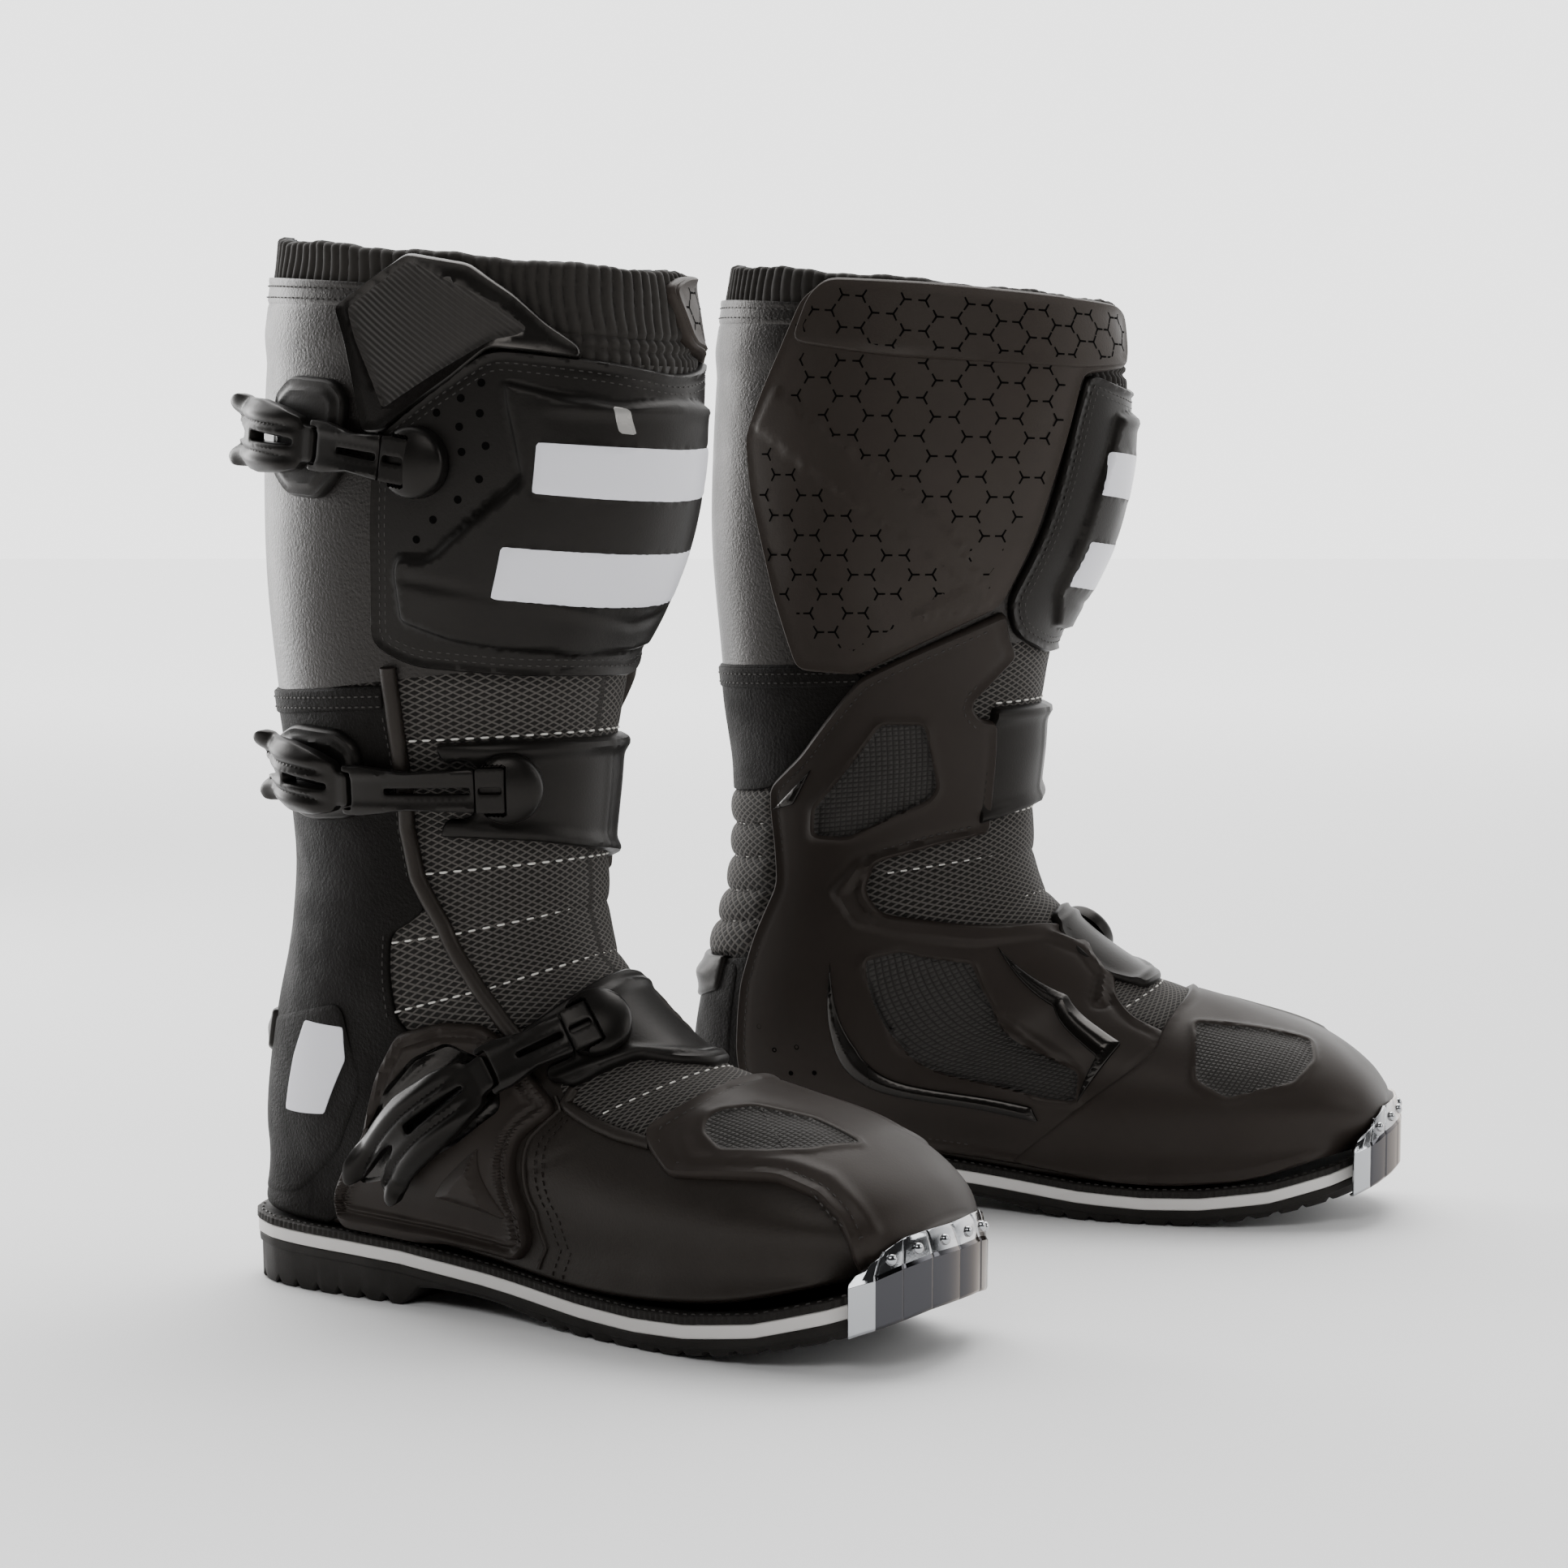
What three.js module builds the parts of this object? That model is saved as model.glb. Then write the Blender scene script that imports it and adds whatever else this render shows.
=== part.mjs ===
import * as THREE from 'three';

// A pair of tall riding boots: right boot (r_) and its mirror image, the left boot (l_).
// Millimetres, +Z up.  Each boot is worked out in its own frame: X runs from the heel to the
// toe, Z up from the floor, and the outer (lateral) side of the right boot is at -Y.

// ---- overall sizes ---------------------------------------------------------------------
const BOOT_HEIGHT = 400;        // back of the collar above the floor
const BOOT_LENGTH = 304;        // heel to toe tip of the outsole
const BOOT_WIDTH = 106;         // widest part of the outsole, at the ball of the foot
const RIGHT_BOOT = { x: -224.74, y: -11.65, turn: 33.4, mirror: 1, prefix: 'r_' };
const LEFT_BOOT = { x: -65.74, y: 144.05, turn: 10.2, mirror: -1, prefix: 'l_' };

// ---- thicknesses and fits ----------------------------------------------------------------
const FIT_GAP = 0.4;            // clearance left between neighbouring pieces
const SEAT = 1.3;               // glue and stitch line between the leather and a guard
const LEATHER = 3.0;            // leather and lining of the shaft and the foot
const GUARD = 3.2;              // moulded guards screwed and sewn over the leather
const COLLAR_SWELL = 1.5;       // the elastic collar stands this far proud of the leather
const WELT_THICK = 6.0;         // welt and midsole between the foot and the outsole
const WELT_LEDGE = 1.5;         // welt shows this far outside the outsole
const FOOTBED = 4.0;            // loose insole
const TOE_CAP = 2.0;            // bright metal cap round the toe

// ---- buckles -------------------------------------------------------------------------------
const ANCHOR_RADIUS = 11;       // round screw head that holds the strap
const ANCHOR_TOP = 11;          // top of the screw head above the leather
const STRAP_WIDTH = 21;
const STRAP_UNDER = 7.2;        // underside of strap and lever above the leather
const STRAP_THICK = 2.8;
const LEVER_WIDTH = 24;
const HINGE_GAP = 3.0;          // free space round the strap and lever pivots
const BASE_THICK = 5.0;         // catch plates under the two upper levers

// ---- the form ------------------------------------------------------------------------------
// Sections of the boot from the collar (0) to the toe (13): front edge x and z, rear or bottom
// edge x and z, half width.  They lie level on the leg and turn upright along the foot.
const FORM = [
  [178, 385, 14, 401, 60], [183, 345, 7, 350, 63], [175, 292, 5, 292, 62],
  [152, 240, 9, 235, 55], [147, 195, 15, 182, 48], [144, 160, 14, 142, 46],
  [148, 137, 4, 102, 46], [165, 118, -2, 52, 45], [187, 102, 18, 27, 44],
  [208, 92, 95, 23, 46], [237, 84, 172, 15, 50], [266, 75, 228, 18, 50],
  [288, 60, 268, 28, 40], [300, 42, 296, 35, 17],
];
// Outsole along the boot: x, half width, underside z, top of the welt z.
const SOLE = [
  [-2, 14, 3, 27], [3, 24, 0, 27], [20, 38, 0, 26.5], [60, 40, 0, 25.5], [85, 39, 0, 24.5],
  [94, 38.5, 8, 23.5], [130, 39, 6, 20], [170, 47, 0, 16], [198, 51, 0, 15], [222, 53, 1, 16],
  [250, 51, 5, 19.5], [275, 42, 11, 26], [290, 27, 16, 31], [300, 10, 21, 37],
];
// Insole along the boot: x, half width, underside z.
const INSOLE = [
  [26, 12, 33.5], [45, 22, 33.5], [75, 26, 33], [100, 26, 32], [130, 25, 29.5], [172, 29, 25],
  [205, 31, 25], [230, 30, 27.5], [250, 24, 32], [262, 15, 35.5],
];
const FORM_SCALE_X = BOOT_LENGTH / 304;
const FORM_SCALE_Y = BOOT_WIDTH / 106;
const FORM_SCALE_Z = BOOT_HEIGHT / 400;
const RAD = Math.PI / 180;

// Smooth curve through the rows of a table at the fractional row number `at`.
function along(table, at) {
  const last = table.length - 1;
  const i = Math.min(Math.max(Math.floor(at), 0), last - 1);
  const f = at - i;
  return table[i].map((_, k) => {
    const b = table[i][k];
    const c = table[i + 1][k];
    const a = i > 0 ? table[i - 1][k] : 2 * b - c;
    const d = i + 2 <= last ? table[i + 2][k] : 2 * c - b;
    return 0.5 * (2 * b + (c - a) * f + (2 * a - 5 * b + 4 * c - d) * f * f
      + (3 * b - a - 3 * c + d) * f * f * f);
  });
}

function smooth(x, a, b) {
  const s = Math.min(Math.max((x - a) / (b - a), 0), 1);
  return s * s * (3 - 2 * s);
}

// Point of the bare form: station t, angle a in degrees (0 front, 90 lateral, -90 medial).
function formPoint(t, a) {
  const [fx, fz, bx, bz, w] = along(FORM, t);
  const c = (1 - Math.cos(a * RAD)) / 2;
  const power = 0.92 - 0.42 * smooth(t, 6.5, 10) * smooth(c, 0.25, 1);
  const s = Math.sin(a * RAD);
  const y = -w * Math.sign(s) * Math.abs(s) ** power + 5 * smooth(t, 8, 10.5);
  return new THREE.Vector3(
    (fx + (bx - fx) * c) * FORM_SCALE_X, y * FORM_SCALE_Y, (fz + (bz - fz) * c) * FORM_SCALE_Z);
}

function formNormal(t, a) {
  const along1 = formPoint(t + 0.01, a).sub(formPoint(t - 0.01, a));
  const round = formPoint(t, a + 0.5).sub(formPoint(t, a - 0.5));
  return round.cross(along1).normalize();
}

// Point standing `lift` outside the leather.
function over(t, a, lift) {
  return formPoint(t, a).addScaledVector(formNormal(t, a), lift);
}

// Value from column `col` of an outsole or insole table at the length x.
function soleAt(x, col, rows = SOLE) {
  let i = 0;
  while (i < rows.length - 2 && x > rows[i + 1][0] * FORM_SCALE_X) i += 1;
  const x0 = rows[i][0] * FORM_SCALE_X;
  const x1 = rows[i + 1][0] * FORM_SCALE_X;
  const f = (x - x0) / (x1 - x0);
  return rows[i][col] + (rows[i + 1][col] - rows[i][col]) * f;
}
const weltTop = (x) => soleAt(x, 3) * FORM_SCALE_Z;

// ---- closed solids ---------------------------------------------------------------------------
// Solid between two equal grids of points; `ring` closes the columns, `shutEnd` caps the far row.
function gridSolid(outer, inner, ring, shutEnd) {
  const rows = outer.length;
  const cols = outer[0].length;
  const points = [...outer.flat(), ...inner.flat()];
  const far = rows * cols;
  const faces = [];
  const quad = (a, b, c, d) => faces.push([a, b, c], [a, c, d]);
  const spans = ring ? cols : cols - 1;
  for (let i = 0; i < rows - 1; i += 1) {
    for (let j = 0; j < spans; j += 1) {
      const k = (j + 1) % cols;
      quad(i * cols + j, (i + 1) * cols + j, (i + 1) * cols + k, i * cols + k);
      quad(far + i * cols + k, far + (i + 1) * cols + k, far + (i + 1) * cols + j, far + i * cols + j);
    }
  }
  for (let j = 0; j < spans; j += 1) {
    const k = (j + 1) % cols;
    quad(j, k, far + k, far + j);
    const e = (rows - 1) * cols;
    if (!shutEnd) quad(e + k, e + j, far + e + j, far + e + k);
  }
  if (shutEnd) {
    for (const [base, flip] of [[0, false], [far, true]]) {
      const e = base + (rows - 1) * cols;
      const middle = new THREE.Vector3();
      for (let j = 0; j < cols; j += 1) middle.addScaledVector(points[e + j], 1 / cols);
      points.push(middle);
      const m = points.length - 1;
      for (let j = 0; j < cols; j += 1) {
        const k = (j + 1) % cols;
        faces.push(flip ? [e + j, e + k, m] : [e + k, e + j, m]);
      }
    }
  }
  if (!ring) {
    for (let i = 0; i < rows - 1; i += 1) {
      const a = i * cols;
      const b = (i + 1) * cols;
      quad(b, a, far + a, far + b);
      quad(a + cols - 1, b + cols - 1, far + b + cols - 1, far + a + cols - 1);
    }
  }
  return { points, faces };
}

// Panel lying on the form.  Each row is [t, angle, t, angle]: its lateral or rear end first.
function panel(rows, steps, cols, under, top) {
  const outer = [];
  const inner = [];
  for (let r = 0; r < rows.length - 1; r += 1) {
    for (let s = r === 0 ? 0 : 1; s <= steps; s += 1) {
      const row = rows[r].map((v, k) => v + (rows[r + 1][k] - v) * (s / steps));
      const at = (f) => [row[0] + (row[2] - row[0]) * f, row[1] + (row[3] - row[1]) * f];
      outer.push(Array.from({ length: cols + 1 }, (_, j) => over(...at(j / cols), top)));
      inner.push(Array.from({ length: cols + 1 }, (_, j) => over(...at(j / cols), under)));
    }
  }
  return gridSolid(outer, inner, false, false);
}

// Tube of the form from station line t0 to t1, each given as [front, rear].
function sleeve(t0, t1, steps, cols, under, top, ripple = 0, folds = 0) {
  const outer = [];
  const inner = [];
  for (let i = 0; i <= steps; i += 1) {
    const f = i / steps;
    const wave = ripple * Math.sin(folds * Math.PI * f) ** 2;
    const line = (a) => {
      const c = (1 - Math.cos(a * RAD)) / 2;
      const start = t0[0] + (t0[1] - t0[0]) * c;
      const end = t1[0] + (t1[1] - t1[0]) * c;
      return start + (end - start) * f;
    };
    const angles = Array.from({ length: cols }, (_, j) => (360 * j) / cols);
    outer.push(angles.map((a) => over(line(a), a, top + wave)));
    inner.push(angles.map((a) => over(line(a), a, under)));
  }
  return gridSolid(outer, inner, true, false);
}

// Part of a ring between two angles, with folds across it.
function bellows(t0, t1, from, to, steps, cols, under, top, ripple, folds) {
  const outer = [];
  const inner = [];
  for (let i = 0; i <= steps; i += 1) {
    const f = i / steps;
    const wave = ripple * Math.abs(Math.sin(folds * Math.PI * f));
    const line = (a) => {
      const c = (1 - Math.cos(a * RAD)) / 2;
      const start = t0[0] + (t0[1] - t0[0]) * c;
      const end = t1[0] + (t1[1] - t1[0]) * c;
      return start + (end - start) * f;
    };
    const angles = Array.from({ length: cols + 1 }, (_, j) => from + ((to - from) * j) / cols);
    outer.push(angles.map((a) => over(line(a), a, top - ripple + wave)));
    inner.push(angles.map((a) => over(line(a), a, under)));
  }
  return gridSolid(outer, inner, false, false);
}

// Hollow foot: closed at the toe, flat on the welt, open at the ankle.
function footShell() {
  const steps = 12;
  const cols = 24;
  const grid = (lift, floor, toe) => Array.from({ length: steps + 1 }, (_, i) => (
    Array.from({ length: cols }, (_, j) => {
      const a = (360 * j) / cols;
      const c = (1 - Math.cos(a * RAD)) / 2;
      const t0 = 6.95 - 0.95 * c;
      const p = over(t0 + (toe - t0) * (i / steps), a, lift);
      p.z = Math.max(p.z, weltTop(p.x) + floor);
      return p;
    })));
  return gridSolid(grid(0, 2 * FIT_GAP, 12.9), grid(-LEATHER, 2 * FIT_GAP + LEATHER, 12.6),
    true, true);
}

// Slab outlined by a sole table between the heights low(x) and high(x), widened by `ledge`.
function soleSlab(rows, low, high, ledge) {
  const grid = (height) => rows.map((row, i) => {
    const x = row[0] * FORM_SCALE_X + (i === 0 ? -ledge : 0)
      + (i === rows.length - 1 ? ledge : 0);
    const w = row[1] * FORM_SCALE_Y + ledge;
    const shift = 5 * FORM_SCALE_Y * smooth(row[0], 90, 190);
    const z = height(x);
    return [-1, 0, 1].map((s) => new THREE.Vector3(x, s * w + shift, z));
  });
  return gridSolid(grid(high), grid(low), false, false);
}

// Bright cap: a horseshoe wall round the toe with its top edge leaning in over the toe.
function toeCap() {
  const outline = [[272, -44], [283, -36], [292.5, -26], [301, -12], [303, 5], [301, 22], [292.5, 36],
    [283, 46], [272, 54]];
  const levels = [[-9, 0], [2, 0], [6, -3]];
  const centre = new THREE.Vector2(262, 5);
  const grid = (out) => levels.map(([rise, lean]) => outline.map(([x, y]) => {
    const p = new THREE.Vector2(x, y).sub(centre);
    const r = p.length();
    p.multiplyScalar((r + WELT_LEDGE + FIT_GAP + out + lean) / r).add(centre);
    const px = p.x * FORM_SCALE_X;
    return new THREE.Vector3(px, p.y * FORM_SCALE_Y, weltTop(px) + rise);
  }));
  return gridSolid(grid(TOE_CAP), grid(0), false, false);
}

// Round screw head standing on the form.
function anchor(t, a, under) {
  const count = 16;
  const n = formNormal(t, a);
  const side = new THREE.Vector3(0, 0, 1).cross(n).normalize();
  const up = n.clone().cross(side);
  const ring = (lift, radius) => Array.from({ length: count }, (_, j) => {
    const q = (2 * Math.PI * j) / count;
    return over(t, a, lift).addScaledVector(side, radius * Math.cos(q))
      .addScaledVector(up, radius * Math.sin(q));
  });
  const rings = [ring(under, ANCHOR_RADIUS - 1), ring(ANCHOR_TOP - 2, ANCHOR_RADIUS),
    ring(ANCHOR_TOP, ANCHOR_RADIUS - 2)];
  const points = rings.flat();
  const faces = [];
  for (let r = 0; r < 2; r += 1) {
    for (let j = 0; j < count; j += 1) {
      const k = (j + 1) % count;
      faces.push([r * count + j, r * count + k, (r + 1) * count + k]);
      faces.push([r * count + j, (r + 1) * count + k, (r + 1) * count + j]);
    }
  }
  for (let j = 1; j < count - 1; j += 1) {
    faces.push([0, j + 1, j]);
    faces.push([2 * count, 2 * count + j, 2 * count + j + 1]);
  }
  return { points, faces };
}

// Samples of a path over the form, given as [t, angle] corners, at the strap level.
function samplePath(path) {
  const level = STRAP_UNDER + STRAP_THICK / 2;
  const list = [];
  for (let i = 0; i < path.length - 1; i += 1) {
    for (let s = i === 0 ? 0 : 1; s <= 20; s += 1) {
      const f = s / 20;
      const t = path[i][0] + (path[i + 1][0] - path[i][0]) * f;
      const a = path[i][1] + (path[i + 1][1] - path[i][1]) * f;
      list.push({ point: over(t, a, level), normal: formNormal(t, a) });
    }
  }
  list[0].s = 0;
  for (let i = 1; i < list.length; i += 1) {
    list[i].s = list[i - 1].s + list[i].point.distanceTo(list[i - 1].point);
  }
  return list;
}

// Plate following the path from distance s0 to s1; also gives the pivot at its near end.
function pathPlate(path, s0, s1, width, steps) {
  const list = samplePath(path);
  const pick = (s) => {
    let i = 0;
    while (i < list.length - 2 && list[i + 1].s < s) i += 1;
    const f = (s - list[i].s) / (list[i + 1].s - list[i].s);
    return {
      point: list[i].point.clone().lerp(list[i + 1].point, f),
      normal: list[i].normal.clone().lerp(list[i + 1].normal, f).normalize(),
    };
  };
  const outer = [];
  const inner = [];
  let hinge = null;
  for (let i = 0; i <= steps; i += 1) {
    const s = s0 + ((s1 - s0) * i) / steps;
    const { point, normal } = pick(s);
    const ahead = pick(s + 2).point.sub(pick(s - 2).point).normalize();
    const side = normal.clone().cross(ahead).normalize();
    const lift = ahead.clone().cross(side).normalize();
    const half = width(i / steps) / 2;
    const row = (h) => [-1, 0, 1].map((k) => point.clone().addScaledVector(side, k * half)
      .addScaledVector(lift, h));
    outer.push(row(STRAP_THICK / 2));
    inner.push(row(-STRAP_THICK / 2));
    if (i === 0) hinge = { point: point.clone(), along: ahead.clone(), out: lift.clone() };
  }
  return { ...gridSolid(outer, inner, false, false), hinge };
}

function pathLength(path) {
  const list = samplePath(path);
  return list[list.length - 1].s;
}

// Strap and lever of one buckle.  The strap turns at the screw head, the lever at the strap end.
function buckle(toPivot, toTail) {
  const path = [...toPivot, ...toTail];
  const pivot = pathLength(toPivot);
  const end = pathLength(path);
  const start = ANCHOR_RADIUS + HINGE_GAP;
  const strap = pathPlate(path, start, pivot - HINGE_GAP / 2, () => STRAP_WIDTH, 4);
  const lever = pathPlate(path, pivot + HINGE_GAP / 2, end,
    (f) => LEVER_WIDTH * (1 - 0.35 * f), 6);
  return { strap, lever };
}

// ---- the pieces of one boot ---------------------------------------------------------------------
const ON_LEATHER = [SEAT, SEAT + GUARD];
// A guard over the collar, or over the sharp curve of the toe, stands a little higher.
const ON_COLLAR = [COLLAR_SWELL + SEAT + FIT_GAP, COLLAR_SWELL + SEAT + FIT_GAP
  + GUARD];
const ON_GUARD = SEAT + GUARD + FIT_GAP;

function bootPieces() {
  const upper = buckle([[1.56, 74.5], [1.46, 101]], [[1.40, 122], [1.36, 141]]);
  const middle = buckle([[3.88, 40], [3.80, 92]], [[3.68, 112], [3.58, 136]]);
  const lower = buckle([[7.30, 25], [7.38, 58]], [[7.75, 84], [8.15, 108]]);
  const black = 0x17171a;
  return {
    outsole: [soleSlab(SOLE, (x) => soleAt(x, 2) * FORM_SCALE_Z,
      (x) => weltTop(x) - WELT_THICK - FIT_GAP, 0), 0x1a1a1b, 0.8, 0],
    welt: [soleSlab(SOLE, (x) => weltTop(x) - WELT_THICK, weltTop, WELT_LEDGE),
      0x3a3836, 0.7, 0],
    insole: [soleSlab(INSOLE, (x) => soleAt(x, 2, INSOLE) * FORM_SCALE_Z,
      (x) => soleAt(x, 2, INSOLE) * FORM_SCALE_Z + FOOTBED, 0), 0x55585c, 0.9, 0],
    foot_shell: [footShell(), 0x1d1d1f, 0.55, 0],
    toe_cap: [toeCap(), 0xc9cccf, 0.2, 1],
    toe_guard: [panel([[9.45, 50, 9.5, -38], [10, 64, 10, -62], [11.1, 58, 11.1, -66],
      [12.05, 90, 12.05, -90], [12.3, 88, 12.3, -88]],
      2, 11, ...ON_COLLAR), black, 0.45, 0],
    heel_counter: [panel([[6.0, 104, 6.0, 224], [6.8, 92, 6.7, 217], [7.4, 104, 7.4, 214],
      [7.72, 124, 7.72, 210]], 2, 12, ...ON_LEATHER), 0x202022, 0.6, 0],
    ankle_guard: [panel([[6.6, 77, 6.75, 55], [7.1, 86, 7.4, 56], [7.56, 98, 8.2, 58],
      [8.0, 112, 8.6, 72], [8.3, 126, 9.3, 96]], 2, 5, ...ON_LEATHER), black, 0.4, 0],
    medial_guard: [panel([[5.35, -124, 5.5, -84], [6.4, -134, 6.6, -48], [7.4, -136, 8.0, -46],
      [7.9, -122, 9.1, -58], [8.2, -112, 9.4, -86]], 2, 6, ...ON_LEATHER), black, 0.4, 0],
    instep_band: [panel([[6.9, 43, 6.55, -20], [7.4, 44, 7.4, -25], [7.95, 44, 8.6, -25]],
      2, 6, ...ON_LEATHER), black, 0.45, 0],
    lower_anchor: [anchor(7.30, 25, ON_GUARD), 0x1b1b1d, 0.35, 0],
    lower_strap: [lower.strap, 0x1b1b1d, 0.4, 0],
    lower_lever: [lower.lever, 0x26262a, 0.3, 0],
    front_bellows: [bellows([4.42, 4.0], [6.85, 5.85], -96, 96, 12, 8, -LEATHER, 0, 1.2, 6),
      0x2a2a2c, 0.9, 0],
    rear_bellows: [bellows([4.42, 4.0], [6.85, 5.85], 98, 262, 10, 8, -LEATHER, 0, 1.6, 5),
      0x202022, 0.6, 0],
    shaft_shell: [sleeve([0.88, 0.52], [4.32, 3.9], 8, 28, -LEATHER, 0), 0x1e1e20, 0.5, 0],
    collar: [sleeve([0.0, 0.0], [0.82, 0.46], 2, 28, -LEATHER, COLLAR_SWELL), 0x2c2c2e, 0.9, 0],
    closure_flap: [panel([[0.03, 80, 0.03, 74], [0.40, 98, 0.42, 52], [0.60, 95, 0.56, 27],
      [0.78, 92, 0.76, 27], [0.80, 92, 0.78, 60], [1.30, 87, 1.28, 85]], 2, 5, ...ON_COLLAR),
      0x202023, 0.4, 0],
    shin_plate: [panel([[0.90, 55, 0.90, -32], [1.40, 85, 1.36, -37], [2.0, 86, 1.95, -40],
      [2.66, 83, 2.66, -42], [2.92, 58, 2.92, -38]], 2, 11, ...ON_LEATHER), black, 0.35, 0],
    heat_guard: [panel([[0.05, -117, 0.08, -8], [0.35, -120, 0.45, -14], [0.62, -123, 0.80, -36],
      [1.49, -137, 1.50, -46], [2.60, -122, 2.62, -50], [3.05, -112, 2.98, -92]],
      2, 9, ...ON_COLLAR), 0x1c1c1e, 0.5, 0],
    medial_calf_guard: [panel([[3.16, -96, 2.80, -48], [3.55, -120, 3.50, -51],
      [4.50, -132, 4.50, -52]], 2, 7, ...ON_LEATHER), black, 0.4, 0],
    mid_band: [panel([[3.56, 55, 3.54, -42], [4.22, 59, 4.62, -46]], 2, 9, ...ON_LEATHER),
      black, 0.4, 0],
    upper_buckle_base: [panel([[1.08, 122, 1.08, 100], [1.72, 120, 1.72, 99]], 2, 3,
      FIT_GAP, FIT_GAP + BASE_THICK), black, 0.4, 0],
    mid_buckle_base: [panel([[3.38, 138, 3.44, 94], [3.95, 134, 3.98, 92]], 2, 4,
      FIT_GAP, FIT_GAP + BASE_THICK), black, 0.4, 0],
    upper_anchor: [anchor(1.56, 74.5, ON_GUARD), 0x1b1b1d, 0.35, 0],
    mid_anchor: [anchor(3.88, 40, ON_GUARD), 0x1b1b1d, 0.35, 0],
    upper_strap: [upper.strap, 0x1b1b1d, 0.4, 0],
    upper_lever: [upper.lever, 0x26262a, 0.3, 0],
    mid_strap: [middle.strap, 0x1b1b1d, 0.4, 0],
    mid_lever: [middle.lever, 0x26262a, 0.3, 0],
  };
}

// ---- placing ----------------------------------------------------------------------------------
function place(p, boot) {
  const c = Math.cos(boot.turn * RAD);
  const s = Math.sin(boot.turn * RAD);
  const y = p.y * boot.mirror;
  return new THREE.Vector3(p.x * c + y * s + boot.x, -p.x * s + y * c + boot.y, p.z);
}

function turned(p, boot) {
  return place(p, { ...boot, x: 0, y: 0 });
}

function signedVolume(points, faces) {
  let sum = 0;
  for (const [a, b, c] of faces) {
    sum += points[a].dot(points[b].clone().cross(points[c]));
  }
  return sum / 6;
}

const pair = new THREE.Group();
for (const boot of [RIGHT_BOOT, LEFT_BOOT]) {
  for (const [name, [solid, colour, roughness, metalness]] of Object.entries(bootPieces())) {
    const points = solid.points.map((p) => place(p, boot));
    const inward = signedVolume(points, solid.faces) < 0;
    const faces = inward ? solid.faces.map(([a, b, c]) => [a, c, b]) : solid.faces;
    const geometry = new THREE.BufferGeometry();
    geometry.setAttribute('position',
      new THREE.Float32BufferAttribute(points.flatMap((p) => [p.x, p.y, p.z]), 3));
    geometry.setIndex(faces.flat());
    geometry.computeVertexNormals();
    const mesh = new THREE.Mesh(geometry,
      new THREE.MeshStandardMaterial({ color: colour, roughness, metalness }));
    mesh.name = boot.prefix + name;
    if (solid.hinge) {
      const ahead = turned(solid.hinge.along, boot);
      mesh.userData.pivot = place(solid.hinge.point, boot).toArray();
      mesh.userData.pivotAxis = ahead.cross(turned(solid.hinge.out, boot)).normalize().toArray();
    }
    pair.add(mesh);
  }
}

export default pair;
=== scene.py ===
import math
import bpy
import numpy as np
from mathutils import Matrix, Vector
from mathutils.geometry import delaunay_2d_cdt


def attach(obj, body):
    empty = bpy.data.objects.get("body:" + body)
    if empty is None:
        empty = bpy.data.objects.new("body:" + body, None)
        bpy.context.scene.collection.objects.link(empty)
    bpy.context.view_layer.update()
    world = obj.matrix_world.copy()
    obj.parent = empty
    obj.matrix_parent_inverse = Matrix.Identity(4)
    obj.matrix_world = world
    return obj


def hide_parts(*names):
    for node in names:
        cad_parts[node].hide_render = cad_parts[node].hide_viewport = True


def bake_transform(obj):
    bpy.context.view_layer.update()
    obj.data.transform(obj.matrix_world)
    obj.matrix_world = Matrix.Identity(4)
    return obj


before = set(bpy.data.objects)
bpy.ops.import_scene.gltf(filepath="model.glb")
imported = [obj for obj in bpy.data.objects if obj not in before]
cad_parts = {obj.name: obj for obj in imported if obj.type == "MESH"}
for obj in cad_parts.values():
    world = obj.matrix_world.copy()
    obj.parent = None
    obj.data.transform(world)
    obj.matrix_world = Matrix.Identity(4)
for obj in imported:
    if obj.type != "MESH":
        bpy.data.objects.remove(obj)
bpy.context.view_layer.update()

# ---- Camera, floor and lamps ------------------------------------------------------------------
# The pair stands on a plain pale floor in soft studio light: a broad lamp from the upper left
# draws the long sheen on the calf leather, a weaker one on the right keeps the far edge readable.
camera = bpy.data.objects.new("camera", bpy.data.cameras.new("camera"))
bpy.context.scene.collection.objects.link(camera)
camera.data.sensor_width = 36.0
camera.data.lens = 80.6
camera.location = (-0.0307, -1.3944, 0.3072)
camera.rotation_euler = (math.radians(90 - 4.81), 0, 0)
bpy.context.scene.camera = camera


def linear(hex_colour):
    """sRGB hex colour to linear RGB, each channel by the sRGB curve."""
    c = [int(hex_colour[i:i + 2], 16) / 255 for i in (1, 3, 5)]
    return tuple(v / 12.92 if v <= 0.04045 else ((v + 0.055) / 1.055) ** 2.4 for v in c)


def add_node(tree, kind, inputs=(), **settings):
    """Adds one node, sets its properties, then fills each input with a value or another socket."""
    made = tree.nodes.new(kind)
    for key, value in settings.items():
        setattr(made, key, value)
    for key, value in dict(inputs).items():
        if isinstance(value, bpy.types.NodeSocket):
            tree.links.new(value, made.inputs[key])
        else:
            made.inputs[key].default_value = value
    return made


world = bpy.data.worlds.new("studio")
bpy.context.scene.world = world
world.use_nodes = True
# The studio: a white sweep behind and above the pair, a dim room in front of it.
sky = add_node(world.node_tree, "ShaderNodeTexCoord")
towards = add_node(world.node_tree, "ShaderNodeSeparateXYZ", {"Vector": sky.outputs["Generated"]})
sweep = add_node(world.node_tree, "ShaderNodeMapRange",
    {"Value": towards.outputs["Y"], "From Min": -0.25, "From Max": 0.65,
    "To Min": 0.04, "To Max": 2.8}, interpolation_type="SMOOTHSTEP")
world.node_tree.links.new(sweep.outputs["Result"],
    world.node_tree.nodes["Background"].inputs["Strength"])
world.node_tree.nodes["Background"].inputs["Color"].default_value = (1, 1, 1, 1)


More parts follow.
